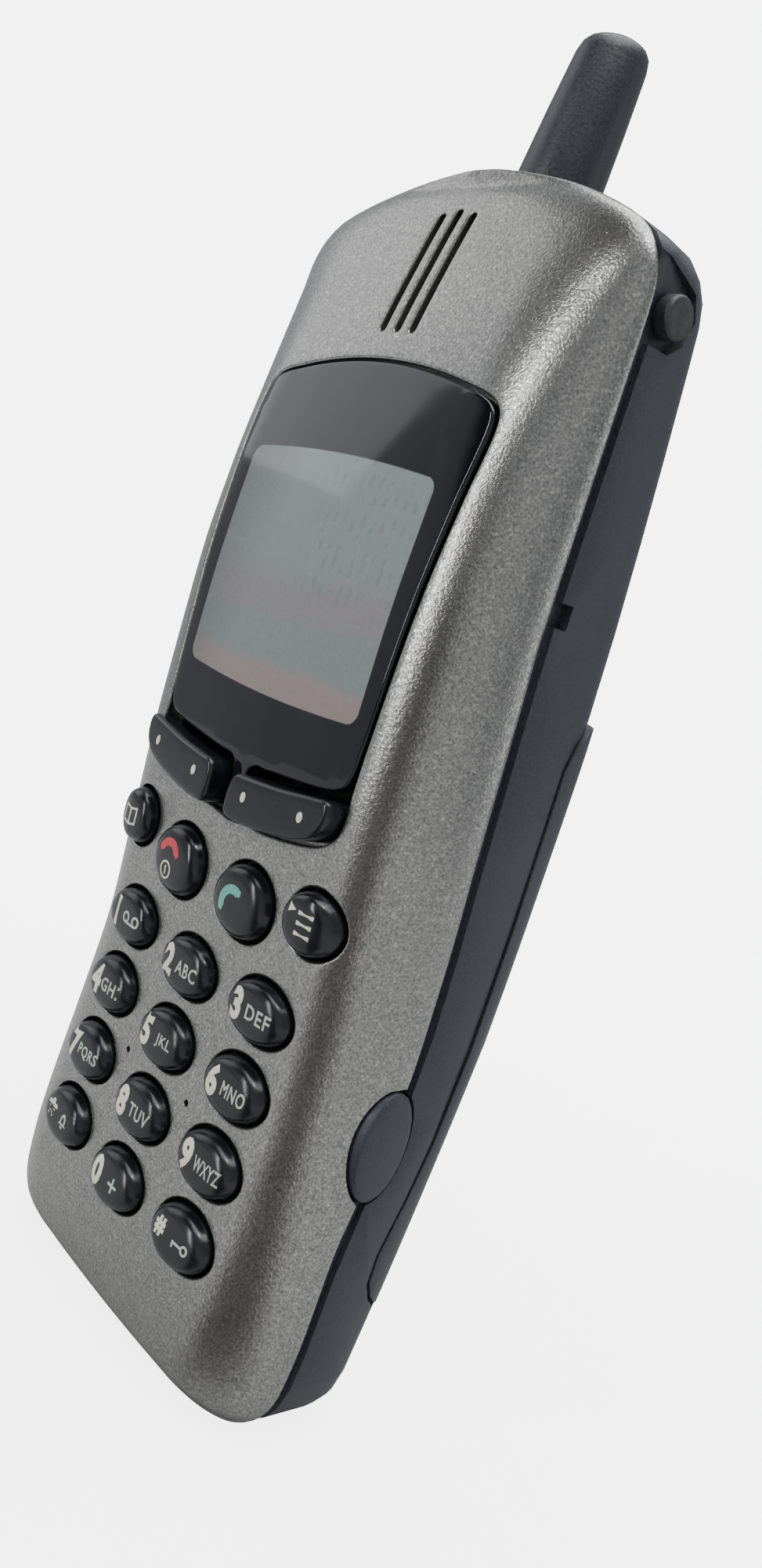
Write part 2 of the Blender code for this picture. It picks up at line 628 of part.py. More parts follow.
def build_display():
    lens = prism("display_window", window_outline(0.0), "y", -3.0, 6.0)
    keep(lens, face_slab("slab", 0.12, LENS_THICK))
    hx = LCD_HALF_X
    glass = rounded(-hx - 0.5, LCD_BOTTOM - 0.7, hx + 0.5, LCD_TOP + 0.6, 0.6, 2)
    deepest = max(face_depth(hx + 0.5, LCD_TOP + 0.6), face_depth(hx + 0.5, LCD_BOTTOM - 0.7))
    behind = deepest + LENS_THICK + LCD_CLEARANCE
    prism("lcd_glass", glass, "y", behind, behind + 1.2)
    outer = rounded(-hx - 2.2, LCD_BOTTOM - 4.4, hx + 2.2, LCD_TOP + 4.5, 1.2, 3)
    holder = prism("lcd_holder", outer, "y", behind + 1.5, BOARD_Y - 0.7)
    room = rounded(-hx - 1.1, LCD_BOTTOM - 2.4, hx + 1.1, LCD_TOP + 3.0, 0.8, 2)
    cut(holder, prism("hole", room, "y", 2.0, BOARD_Y - 1.9))
    light = rounded(-hx - 0.7, LCD_BOTTOM - 1.9, hx + 0.7, LCD_TOP + 2.5, 0.5, 2)
    prism("backlight", light, "y", behind + 1.6, BOARD_Y - 2.2)


def build_softkeys():
    for side, name in ((-1, "softkey_left"), (1, "softkey_right")):
        outline = softkey_outline(side, 0.0)
        cx = sum(p[0] for p in outline) / len(outline)
        cz = sum(p[1] for p in outline) / len(outline)
        rings = []
        for s, y in ((0.90, -2.15), (0.97, -1.95), (1.0, -1.5), (1.0, 4.0)):
            ring = []
            for x, z in outline:
                px = cx + (x - cx) * (s if s == 1.0 else s + 0.04)
                ring.append((px, y + (0.0035 * x * x if y < 3.0 else 0.0), cz + (z - cz) * s))
            rings.append(ring)
        wide = softkey_outline(side, KEY_CLEARANCE + 0.4)
        rings.append([(x, 4.0, z) for x, z in wide])
        rings.append([(x, KEY_FOOT_Y, z) for x, z in wide])
        loft(name, rings)


def build_inside():
    front = KEY_FOOT_Y + KEY_TRAVEL + 0.15
    sheet = rounded(-MAT_HALF, 10.6, MAT_HALF, 52.6, 2.0, 3)
    pad = prism("keypad_mat", sheet, "y", front, front + 1.05)
    holes = []
    for x in (-MAT_HALF + 1.8, MAT_HALF - 1.8):
        holes.append(tube("hole", x, 0.0, 12.6, "y", [(3.0, 0.5), (9.0, 0.5)], 8))
    cut(pad, *holes)
    plate = rounded(-BOARD_HALF, 9.8, BOARD_HALF, raised(98.4), 2.0, 3)
    board = prism("main_board", plate, "y", BOARD_Y, BOARD_BACK)
    holes = []
    for x, z in SCREWS:
        holes.append(tube("hole", x, 0.0, z, "y", [(5.0, 3.0), (12.0, 3.0)], 16))
    reach = PAD_HALF_Z + 1.75
    low, high = PAD_Z - reach + 0.15, PAD_Z + reach + 0.15
    holes.append(box("hole", (SIDE - 6.9, 5.0, low), (SIDE + 6.5, 12.0, high)))
    holes.append(box("hole", (-SIDE - 6.5, 5.0, low), (-SIDE + 6.9, 12.0, high)))
    cut(board, *holes)
    top = BOARD_BACK + 0.3
    prism("shield_radio", rounded(-16.2, raised(76.0), 2.0, raised(96.0), 0.8, 2), "y", top, top + 3.0)
    prism("shield_logic", rounded(-15.0, 44.8, 15.0, 61.0, 0.8, 2), "y", top, top + 3.0)
    prism("shield_power", rounded(4.5, raised(76.0), 15.6, raised(95.0), 0.8, 2), "y", top, top + 2.4)
    tube("backup_cell", 11.0, 0.0, raised(69.0), "y", [(top, 3.4), (top + 2.1, 3.4)], 20)
    ear = [(6.9, 4.6), (7.0, 5.6), (9.6, 5.6), (9.6, 4.2)]
    tube("earpiece", 0.0, 0.0, raised(105.6), "y", ear, 24)
    tube("microphone", 0.0, 0.0, 6.6, "y", [(4.1, 2.4), (6.4, 2.4)], 18)
    tube("ringer", -12.0, 0.0, raised(68.9), "y", [(top, 4.6), (top + 3.0, 4.6)], 22)
    holder = box("sim_holder", (-12.4, 11.4, 26.0), (12.4, 14.6, 43.5))
    cut(holder, box("hole", (-11.4, 12.9, 25.0), (11.4, 16.0, 42.5)))
    box("battery_connector", (-6.0, 11.2, raised(63.1)), (6.0, 17.0, raised(66.9)))
    plug = box("system_connector", (-10.7, 8.1, 0.6), (10.7, 11.1, 8.8))
    slot = [box("hole", (-9.0, 9.0, -1.0), (9.0, 10.2, 5.0))]
    cut(plug, *slot)


def build_outside_fittings():
    n = 22
    rings = []
    foot = ANTENNA_SEAT_Z + 0.35
    bend = BODY_LENGTH - 0.3
    body = [(foot, ANTENNA_BASE_R), (bend, ANTENNA_BASE_R), (bend + 2.8, ANTENNA_BASE_R - 0.12),
            (bend + 7.8, ANTENNA_BASE_R - 0.35), (ANTENNA_TOP - 1.7, ANTENNA_TIP_R + 0.02),
            (ANTENNA_TOP - 0.9, ANTENNA_TIP_R - 0.16), (ANTENNA_TOP - 0.4, ANTENNA_TIP_R - 0.5),
            (ANTENNA_TOP - 0.1, ANTENNA_TIP_R - 1.0), (ANTENNA_TOP, ANTENNA_TIP_R - 1.6)]
    for z, r in body:
        lean = math.tan(math.radians(ANTENNA_LEAN)) * max(z - bend, 0.0)
        turn = [2 * math.pi * i / n for i in range(n)]
        rings.append([(ANTENNA_X + r * math.cos(a), ANTENNA_Y + lean + r * math.sin(a), z) for a in turn])
    cover = loft("antenna_cover", rings)
    bore_r = ANTENNA_ROD_R + 0.3
    bore = [(foot - 4.85, bore_r), (foot + 6.15, bore_r)]
    cut(cover, tube("bore", ANTENNA_X, ANTENNA_Y, 0.0, "z", bore, 14))
    shoulder = ANTENNA_SEAT_Z - 0.3
    tube("antenna_rod", ANTENNA_X, ANTENNA_Y, 0.0, "z",
         [(shoulder - 4.4, ROD_FLANGE_R), (shoulder, ROD_FLANGE_R), (shoulder + 0.01, ANTENNA_ROD_R),
          (foot + 5.55, ANTENNA_ROD_R)], 20)
    tube("socket_plug", 0.0, PLUG_Y, PLUG_Z, "x",
         [(SIDE - 4.3, 0.85), (SIDE - 0.95, 0.85), (SIDE - 0.94, PLUG_R - 0.1), (SIDE - 0.75, PLUG_R),
          (SIDE + 0.4, PLUG_R), (SIDE + 0.65, PLUG_R - 0.2)], 20)
    for side, name in ((1, "release_right"), (-1, "release_left")):
        rings = []
        edge = SIDE
        for s, x in ((0.82, edge + 0.42), (0.95, edge + 0.3), (1.0, edge + 0.05), (1.0, edge - WALL - 1.7)):
            rings.append([(side * x, y, z) for y, z in oval(PAD_Y, PAD_Z, PAD_HALF_Y * s, PAD_HALF_Z * s, n)])
        stem = loft(name, rings)
        inner, outer = sorted((side * (edge - WALL - 2.0), side * (edge - WALL - 1.1)))
        flange = oval(PAD_Y + 0.3, PAD_Z, PAD_HALF_Y - 0.4, PAD_HALF_Z + 1.1, n)
        join(stem, prism("flange", flange, "x", inner, outer))
    for i, (x, z) in enumerate(SCREWS):
        seam = spline(SEAM, z)
        shank = SCREW_HOLE_R - 0.25
        stations = [(seam - 1.9, shank), (seam + 2.9, shank), (seam + 2.91, 1.6), (seam + 4.0, 1.6)]
        screw = tube("screw_%d" % (i + 1), x, 0.0, z, "y", stations, 14)
        cross = box("hole", (x - 1.0, seam + 3.4, z - 0.22), (x + 1.0, seam + 5.0, z + 0.22))
        cut(screw, cross)


def build_keys():
    for name, x, z, hx, hz in key_table():
        key_cap(name, x, z, hx, hz, KEY_RISE, KEY_FLANGE_X if hx > MENU_HALF_X else 0.4)


# ---- colours: name, red, green, blue, roughness, metallic ------------------------
SILVER = ("silver paint", 0.33, 0.34, 0.34, 0.42, 0.75)
DARK = ("dark shell", 0.035, 0.04, 0.055, 0.5, 0.0)
BLACK_GLOSS = ("black window", 0.012, 0.013, 0.017, 0.08, 0.0)
DISPLAY = ("display glass", 0.36, 0.4, 0.4, 0.2, 0.0)
KEYS = ("key plastic", 0.02, 0.022, 0.026, 0.25, 0.0)
RUBBER = ("rubber", 0.12, 0.12, 0.13, 0.7, 0.0)
MOULDED = ("inner plastic", 0.05, 0.05, 0.055, 0.5, 0.0)
MILKY = ("light guide", 0.85, 0.86, 0.85, 0.35, 0.0)
BOARD = ("solder mask", 0.04, 0.2, 0.1, 0.35, 0.0)
TIN = ("tinned steel", 0.72, 0.72, 0.72, 0.3, 1.0)
CELL = ("cell case", 0.6, 0.62, 0.64, 0.4, 0.9)
BRASS = ("plated brass", 0.75, 0.6, 0.28, 0.3, 1.0)
SCREW = ("blackened steel", 0.25, 0.25, 0.26, 0.35, 1.0)
FINISH = {"front_shell": SILVER, "display_window": BLACK_GLOSS, "lcd_glass": DISPLAY, "keypad_mat": RUBBER,
          "socket_plug": RUBBER, "lcd_holder": MOULDED, "sim_holder": MOULDED, "battery_base": MOULDED,
          "system_connector": MOULDED, "battery_connector": MOULDED, "backlight": MILKY, "main_board": BOARD,
          "battery_circuit": BOARD, "shield_radio": TIN, "shield_logic": TIN, "shield_power": TIN,
          "battery_cell_left": CELL, "battery_cell_right": CELL, "backup_cell": CELL, "antenna_rod": BRASS,
          "earpiece": MOULDED, "microphone": MOULDED, "ringer": MOULDED}


def material(spec):
    """Principled material shared by every piece with the same finish."""
    found = bpy.data.materials.get(spec[0])
    if found:
        return found
    made = bpy.data.materials.new(spec[0])
    made.use_nodes = True
    surface = made.node_tree.nodes["Principled BSDF"]
    surface.inputs["Base Color"].default_value = (spec[1], spec[2], spec[3], 1.0)
    surface.inputs["Roughness"].default_value = spec[4]
    surface.inputs["Metallic"].default_value = spec[5]
    return made


def finish(obj):
    """Clean, scale to metres, shade, colour, and put the origin in the middle of the piece."""
    bm = bmesh.new()
    bm.from_mesh(obj.data)
    bmesh.ops.triangulate(bm, faces=bm.faces)
    bmesh.ops.dissolve_degenerate(bm, dist=0.0003, edges=bm.edges)
    bmesh.ops.triangulate(bm, faces=bm.faces)
    points = np.array([v.co[:] for v in bm.verts])
    middle = (points.min(axis=0) + points.max(axis=0)) / 2
    for vert in bm.verts:
        vert.co.x = (vert.co.x - middle[0]) * MM
        vert.co.y = (vert.co.y - middle[1]) * MM
        vert.co.z = (vert.co.z - middle[2]) * MM
    bm.to_mesh(obj.data)
    bm.free()
    obj.location = [float(c) * MM for c in middle]
    obj.data.name = obj.name
    obj.data.shade_smooth()
    obj.data.set_sharp_from_angle(angle=math.radians(32.0))
    default = SCREW if obj.name.startswith("screw") else KEYS
    if obj.name in ("rear_shell", "battery_cover", "antenna_cover", "release_left", "release_right"):
        default = DARK
    obj.data.materials.clear()
    obj.data.materials.append(material(FINISH.get(obj.name, default)))


def main():
    for obj in list(bpy.data.objects):
        bpy.data.objects.remove(obj, do_unlink=True)
    build_front_shell()
    build_rear_shell()
    build_battery()
    build_display()
    build_softkeys()
    build_inside()
    build_outside_fittings()
    build_keys()
    for obj in list(bpy.data.objects):
        finish(obj)


main()
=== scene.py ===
"""Looks for the candybar phone: finer visible pieces, materials, light and camera."""
import math

import bmesh
import bpy
from mathutils import Matrix, Vector
from mathutils.geometry import delaunay_2d_cdt


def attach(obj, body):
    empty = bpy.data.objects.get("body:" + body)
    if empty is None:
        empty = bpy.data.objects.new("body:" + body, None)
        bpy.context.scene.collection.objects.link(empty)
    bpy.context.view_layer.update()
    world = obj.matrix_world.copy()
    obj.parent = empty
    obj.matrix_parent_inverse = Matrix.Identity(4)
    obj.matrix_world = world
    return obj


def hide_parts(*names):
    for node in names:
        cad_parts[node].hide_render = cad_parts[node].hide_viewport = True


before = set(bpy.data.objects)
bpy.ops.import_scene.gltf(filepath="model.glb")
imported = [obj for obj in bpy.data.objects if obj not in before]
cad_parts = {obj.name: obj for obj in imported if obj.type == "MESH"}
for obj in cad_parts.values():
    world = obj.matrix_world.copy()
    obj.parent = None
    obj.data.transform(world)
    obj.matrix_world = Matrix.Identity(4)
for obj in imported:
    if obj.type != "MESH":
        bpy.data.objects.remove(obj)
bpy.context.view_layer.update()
scene = bpy.context.scene

# -------- camera and light
camera_data = bpy.data.cameras.new("camera")
camera_data.lens = 28.74
camera_data.sensor_width = 36.0
camera_data.sensor_fit = "AUTO"
camera_data.clip_start = 0.005
camera_data.clip_end = 20.0
camera = bpy.data.objects.new("camera", camera_data)
right = Vector((0.63062, 0.71599, 0.29947))
up = Vector((-0.30332, -0.12779, 0.94428))
back = Vector((0.71436, -0.68632, 0.13658))
turn = Matrix((right, up, back)).transposed().to_4x4()
camera.matrix_world = Matrix.Translation((0.09468, -0.08295, 0.07739)) @ turn
scene.collection.objects.link(camera)
scene.camera = camera


def area_light(name, place, target, size_x, size_y, power):
    """Soft rectangular lamp aimed at a point."""
    data = bpy.data.lights.new(name, "AREA")
    data.shape = "RECTANGLE"
    data.size = size_x
    data.size_y = size_y
    data.energy = power
    lamp = bpy.data.objects.new(name, data)
    lamp.location = place
    lamp.rotation_euler = (Vector(target) - Vector(place)).to_track_quat("-Z", "Y").to_euler()
    scene.collection.objects.link(lamp)


area_light("strip_light", (-0.20, -1.1, 0.36), (0.0, 0.0, 0.07), 0.055, 0.8, 5.5)
area_light("left_light", (-0.75, -0.35, 0.5), (0.0, 0.0, 0.07), 0.5, 0.6, 1.1)
area_light("top_light", (0.05, 0.05, 1.3), (0.0, 0.0, 0.0), 1.2, 1.2, 20.0)
area_light("spot_light", (0.22, -0.17, 0.75), (0.0, 0.0, 0.1), 0.06, 0.06, 0.7)
area_light("right_light", (0.8, 0.75, 0.25), (0.0, 0.0, 0.06), 0.3, 0.7, 0.9)

world = bpy.data.worlds.new("studio")
scene.world = world
world.use_nodes = True
wn = world.node_tree.nodes
wl = world.node_tree.links

# Dark card: a leaning band between two directions, mirrored along the phone's rounded side.
CARD_HIGH = (0.07, -0.99, 0.09)
CARD_LOW = (0.43, -0.76, -0.50)
CARD_NORMAL = tuple(Vector(CARD_HIGH).cross(Vector(CARD_LOW)).normalized())
BACKDROP = 6.0
NEAR_FLOOR = 4.2
FLOOR_R = 0.34


def new_node(tree, kind, **settings):
    """New shader node with its settings."""
    node = tree.nodes.new(kind)
    for key, value in settings.items():
        setattr(node, key, value)
    return node


def fill(node, **values):
    """Input values by name, with _ for a space."""
    for key, value in values.items():
        node.inputs[key.replace("_", " ")].default_value = value


def near(tree, vector, direction, low, high, band=False):
    """How near a vector points to a direction, from 0 to 1; band takes the belt square to it instead."""
    unit = new_node(tree, "ShaderNodeVectorMath", operation="NORMALIZE")
    tree.links.new(vector, unit.inputs[0])
    dot = new_node(tree, "ShaderNodeVectorMath", operation="DOT_PRODUCT")
    dot.inputs[1].default_value = direction
    tree.links.new(unit.outputs["Vector"], dot.inputs[0])
    value = dot.outputs["Value"]
    if band:
        size = new_node(tree, "ShaderNodeMath", operation="ABSOLUTE")
        tree.links.new(value, size.inputs[0])
        value = size.outputs["Value"]
    span = new_node(tree, "ShaderNodeMapRange", interpolation_type="SMOOTHSTEP")
    fill(span, From_Min=low, From_Max=high)
    tree.links.new(value, span.inputs["Value"])
    return span.outputs["Result"]


def card(tree, vector):
    """Where the dark card is seen: its belt, on the phone's front side only."""
    both = new_node(tree, "ShaderNodeMath", operation="MULTIPLY")
    tree.links.new(near(tree, vector, CARD_NORMAL, 0.36, 0.18, True), both.inputs[0])
    tree.links.new(near(tree, vector, (0.0, -1.0, 0.0), 0.15, 0.5), both.inputs[1])
    return both.outputs["Value"]


def blend(factor, a, b):
    """World colour b laid over a where the factor is 1."""
    mix = new_node(world.node_tree, "ShaderNodeMix", data_type="RGBA")
    wl.new(factor, mix.inputs[0])
    for socket, colour in ((mix.inputs[6], a), (mix.inputs[7], b)):
        if isinstance(colour, tuple):
            socket.default_value = (*colour, 1.0)
        else:
            wl.new(colour, socket)
    return mix.outputs[2]


sky = wn.new("ShaderNodeTexCoord").outputs["Generated"]
upper_left = near(world.node_tree, sky, (-0.75, -0.55, 0.35), 0.2, 1.0)
right_side = near(world.node_tree, sky, (0.80, -0.58, 0.0), 0.70, 0.95)
wall = blend(upper_left, (0.42, 0.43, 0.445), (0.52, 0.535, 0.56))
wall = blend(right_side, wall, (0.62, 0.62, 0.63))
wall = blend(card(world.node_tree, sky), wall, (0.012, 0.005, 0.007))
sight_line = wn.new("ShaderNodeLightPath").outputs["Is Camera Ray"]
wall = blend(sight_line, wall, (BACKDROP, BACKDROP, BACKDROP))
wl.new(wall, wn["Background"].inputs["Color"])

floor_mesh = bpy.data.meshes.new("floor")
floor_turns = [math.tau * i / 96 for i in range(96)]
floor_edge = [(FLOOR_R * math.cos(a), FLOOR_R * math.sin(a), 0) for a in floor_turns]
floor_mesh.from_pydata(floor_edge, [], [tuple(range(96))])
floor = bpy.data.objects.new("floor", floor_mesh)
scene.collection.objects.link(floor)


# -------- materials
class Nodes:
    """Short names for making a node material."""

    def __init__(self, name):
        self.material = bpy.data.materials.new(name + "_look")
        self.material.use_nodes = True
        self.tree = self.material.node_tree
        self.surface = self.tree.nodes["Principled BSDF"]
        self.output = self.tree.nodes["Material Output"]
        self.place = self.tree.nodes.new("ShaderNodeTexCoord").outputs["Object"]

    def new(self, kind, **settings):
        return new_node(self.tree, kind, **settings)

    def link(self, a, b):
        self.tree.links.new(a, b)

    def noise(self, scale, detail=2.0, rough=0.5, stretch=(1.0, 1.0, 1.0)):
        node = self.new("ShaderNodeTexNoise")
        fill(node, Scale=scale, Detail=detail, Roughness=rough)
        place = self.new("ShaderNodeMapping")
        fill(place, Scale=stretch)
        self.link(self.place, place.inputs["Vector"])
        self.link(place.outputs["Vector"], node.inputs["Vector"])
        return node.outputs["Fac"]

    def cells(self, scale, output="Distance"):
        node = self.new("ShaderNodeTexVoronoi")
        fill(node, Scale=scale)
        self.link(self.place, node.inputs["Vector"])
        return node.outputs[output]

    def ramp(self, value, low, high, start=0.0, end=1.0):
        node = self.new("ShaderNodeMapRange")
        fill(node, From_Min=low, From_Max=high, To_Min=start, To_Max=end)
        self.link(value, node.inputs["Value"])
        return node.outputs["Result"]

    def math(self, how, a, b):
        node = self.new("ShaderNodeMath", operation=how)
        self.put(node.inputs[0], a)
        self.put(node.inputs[1], b)
        return node.outputs["Value"]

    def mix(self, factor, a, b):
        node = self.new("ShaderNodeMix", data_type="RGBA")
        self.put(node.inputs[0], factor)
        self.put(node.inputs[6], a)
        self.put(node.inputs[7], b)
        return node.outputs[2]

    def put(self, socket, v):
        if isinstance(v, (int, float)):
            socket.default_value = v
        elif isinstance(v, tuple):
            socket.default_value = (*v, 1.0)
        else:
            self.link(v, socket)

    def bump(self, height, distance, strength=1.0, chain=None):
        node = self.new("ShaderNodeBump")
        fill(node, Strength=strength, Distance=distance)
        self.link(height, node.inputs["Height"])
        if chain:
            self.link(chain, node.inputs["Normal"])
        return node.outputs["Normal"]

    def colour(self, v):
        self.put(self.surface.inputs["Base Color"], v)

    def rough(self, v):
        self.put(self.surface.inputs["Roughness"], v)

    def normal(self, v):
        self.link(v, self.surface.inputs["Normal"])

    def set(self, **values):
        fill(self.surface, **values)


def silver_paint():
    """Metallic paint with fine flakes and a faint orange peel."""
    m = Nodes("silver_paint")
    fine = m.noise(4200.0, 2.0, 0.6)
    peel = m.noise(1700.0, 2.0, 0.55)
    broad = m.noise(60.0, 3.0, 0.5)
    cell = m.cells(4600.0, output="Color")
    flake = m.ramp(cell, 0.66, 0.98)
    tone = m.mix(m.ramp(fine, 0.3, 0.7), (0.15, 0.152, 0.147), (0.39, 0.392, 0.373))
    tone = m.mix(m.ramp(broad, 0.35, 0.7, 0.0, 0.25), tone, (0.23, 0.235, 0.24))
    tone = m.mix(m.math("MULTIPLY", flake, 0.38), tone, (0.72, 0.72, 0.67))
    m.colour(tone)
    m.rough(m.ramp(m.math("ADD", fine, flake), 0.3, 1.6, 0.27, 0.15))
    m.set(Metallic=0.88, Coat_Weight=0.12, Coat_Roughness=0.12)
    soft = m.bump(peel, 0.00007, 0.22)
    m.normal(m.bump(fine, 0.00004, 0.8, soft))
    return m.material


def dark_plastic(name, base=(0.018, 0.021, 0.031), lift=(0.046, 0.051, 0.068), rough=(0.4, 0.58)):
    """Blue-black moulded plastic with a fine grain."""
    m = Nodes(name)
    fine = m.noise(4200.0, 2.0, 0.6)
    pits = m.cells(2600.0)
    broad = m.noise(45.0, 3.0, 0.5)
    tone = m.mix(m.ramp(fine, 0.3, 0.75), base, lift)
    tone = m.mix(m.ramp(broad, 0.45, 0.75, 0.0, 0.35), tone, (0.062, 0.066, 0.078))
    m.colour(tone)
    m.rough(m.ramp(fine, 0.3, 0.7, rough[0], rough[1]))
    grain = m.bump(pits, 0.00003, 0.5)
    m.normal(m.bump(fine, 0.00002, 0.5, grain))
    return m.material


def key_gloss():
    """Worn glossy black of the keys, with specks of dust."""
    m = Nodes("key_gloss")
    smear = m.noise(320.0, 3.0, 0.6)
    dust = m.ramp(m.noise(7000.0, 1.0, 0.5), 0.7, 0.8, 0.0, 0.4)
    m.colour(m.mix(dust, (0.008, 0.010, 0.013), (0.09, 0.1, 0.1)))
    m.rough(m.ramp(smear, 0.3, 0.7, 0.16, 0.30))
    m.normal(m.bump(m.noise(900.0, 2.0), 0.00001, 0.35))
    return m.material


LCD_HALF, LCD_LOW, LCD_HIGH, LCD_CORNER = 0.0137, 0.0659, 0.0894, 0.0012
SCREEN_TEAL, SCREEN_MAUVE = (0.225, 0.262, 0.265), (0.235, 0.222, 0.240)
SCREEN_GREEN, SCREEN_TAN = (0.200, 0.238, 0.228), (0.275, 0.222, 0.205)


def window_gloss():
    """Black lens with the look of the display painted on its middle."""
    m = Nodes("window_gloss")
    split = m.new("ShaderNodeSeparateXYZ")
    m.link(m.place, split.inputs["Vector"])
    x, z = split.outputs["X"], split.outputs["Z"]
    bow = m.math("MULTIPLY", m.math("MULTIPLY", x, x), 3.6)

    # distance inside the bowed rectangle, with rounded corners
    aside = m.math("SUBTRACT", m.math("ABSOLUTE", x, 0.0), LCD_HALF - LCD_CORNER)
    over = m.math("SUBTRACT", m.math("ADD", z, bow), LCD_HIGH - LCD_CORNER)
    under = m.math("SUBTRACT", LCD_LOW + LCD_CORNER, m.math("SUBTRACT", z, m.math("MULTIPLY", bow, 0.9)))
    updown = m.math("MAXIMUM", over, under)
    corner = m.math("POWER", m.math("ADD", m.math("POWER", m.math("MAXIMUM", aside, 0.0), 2.0),
                                    m.math("POWER", m.math("MAXIMUM", updown, 0.0), 2.0)), 0.5)
    clear = m.math("SUBTRACT", 1.0, m.ramp(corner, LCD_CORNER - 0.00005, LCD_CORNER + 0.00005))
    smear = m.noise(90.0, 3.0, 0.6, (1.0, 1.0, 0.35))
    wave = m.math("ADD", z, m.ramp(m.noise(60.0, 1.0), 0.3, 0.7, -0.0012, 0.0012))
    screen = m.mix(m.ramp(wave, 0.0765, 0.0795), SCREEN_MAUVE, SCREEN_TEAL)
    screen = m.mix(m.ramp(wave, 0.0745, 0.0725), screen, SCREEN_GREEN)
    screen = m.mix(m.ramp(wave, 0.0690, 0.0680), screen, SCREEN_TAN)
    # painted shade: the screen darkens diagonally towards its left side
    shade = m.ramp(m.math("ADD", x, m.math("MULTIPLY", z, -0.10)), -0.0215, -0.0135, 1.0, 0.0)
    screen = m.mix(m.math("MULTIPLY", shade, 0.62), screen, (0.10, 0.105, 0.115))
    # faint rows of old characters, worn into the glass
    bricks = m.new("ShaderNodeTexBrick", offset=0.37)
    fill(bricks, Scale=1.0, Brick_Width=0.0013, Row_Height=0.0034, Mortar_Size=0.00055, Mortar_Smooth=0.6)
    turn_xz = m.new("ShaderNodeCombineXYZ")
    m.link(x, turn_xz.inputs["X"])
    m.link(z, turn_xz.inputs["Y"])
    m.link(turn_xz.outputs["Vector"], bricks.inputs["Vector"])
    glyph = m.math("SUBTRACT", 1.0, bricks.outputs["Fac"])
    broken = m.ramp(m.noise(900.0, 1.0), 0.45, 0.55)
    area = m.math("MULTIPLY", m.ramp(z, 0.0755, 0.0765), m.ramp(x, -0.001, 0.002))
    ghost = m.math("MULTIPLY", m.math("MULTIPLY", glyph, broken), area)
    screen = m.mix(m.math("MULTIPLY", ghost, 0.4), screen, (0.12, 0.175, 0.175))
    screen = m.mix(m.ramp(m.noise(3500.0), 0.3, 0.7, 0.0, 0.15), screen, (0.36, 0.38, 0.39))
    black = m.mix(m.ramp(smear, 0.4, 0.7), (0.006, 0.007, 0.010), (0.013, 0.015, 0.019))
    m.colour(m.mix(clear, black, screen))
    scratch = m.ramp(m.noise(260.0, 2.0, 0.5, (1.0, 1.0, 0.12)), 0.66, 0.7, 0.0, 0.10)
    m.rough(m.math("ADD", m.ramp(smear, 0.35, 0.7, 0.045, 0.11), scratch))
    m.normal(m.bump(m.noise(150.0, 1.0), 0.00001, 0.12))
    return m.material


def lcd():
    """Bare display glass under the window."""
    m = Nodes("lcd")
    bands = m.noise(70.0, 2.0, 0.5, (0.3, 1.0, 1.0))
    tone = m.mix(m.ramp(bands, 0.35, 0.65), (0.36, 0.40, 0.39), (0.44, 0.42, 0.43))
    m.colour(m.mix(m.noise(3000.0), tone, (0.40, 0.42, 0.42)))
    m.rough(m.ramp(m.noise(500.0), 0.3, 0.7, 0.22, 0.32))
    m.normal(m.bump(m.noise(2500.0), 0.000004, 0.3))
    return m.material


def plain(name, one, two, scale, rough, bump=0.00002, metallic=0.0):
    """Two close tones broken by fine noise, with matching roughness and bump."""
    m = Nodes(name)
    fine = m.noise(scale, 3.0, 0.6)
    m.colour(m.mix(m.ramp(fine, 0.3, 0.7), one, two))
    m.rough(m.ramp(m.noise(scale * 0.3), 0.3, 0.7, rough[0], rough[1]))
    m.set(Metallic=metallic)
    m.normal(m.bump(fine, bump, 0.6))
    return m.material


def pale_floor():
    """White sheet that fades into the pale backdrop, and is darker where the phone's side would mirror it."""
    m = Nodes("floor")
    fine = m.noise(120.0, 3.0, 0.6)
    sight = m.new("ShaderNodeLightPath").outputs["Is Camera Ray"]
    lowered = m.new("ShaderNodeVectorMath", operation="ADD")
    lowered.inputs[1].default_value = (0.0, 0.0, -0.035)
    m.link(m.place, lowered.inputs[0])
    dark = card(m.tree, lowered.outputs["Vector"])
    unseen = m.mix(dark, (0.52, 0.52, 0.52), (0.05, 0.032, 0.035))
    seen = m.mix(m.ramp(fine, 0.3, 0.7), (0.78, 0.78, 0.78), (0.82, 0.82, 0.81))
    away = m.new("ShaderNodeVectorMath", operation="LENGTH")
    m.link(m.place, away.inputs[0])
    seen = m.mix(m.ramp(away.outputs["Value"], 0.5 * FLOOR_R, FLOOR_R), seen, (0.0, 0.0, 0.0))
    m.colour(m.mix(sight, unseen, seen))
    m.rough(m.ramp(fine, 0.3, 0.7, 0.6, 0.75))
    m.normal(m.bump(fine, 0.00002, 0.6))
    rise = m.ramp(away.outputs["Value"], 0.05, FLOOR_R, NEAR_FLOOR, BACKDROP)
    glimmer = m.new("ShaderNodeEmission")
    m.link(m.math("MULTIPLY", rise, sight), glimmer.inputs["Strength"])
    join = m.new("ShaderNodeAddShader")
    m.link(m.surface.outputs[0], join.inputs[0])
    m.link(glimmer.outputs[0], join.inputs[1])
    m.link(join.outputs[0], m.output.inputs["Surface"])
    return m.material


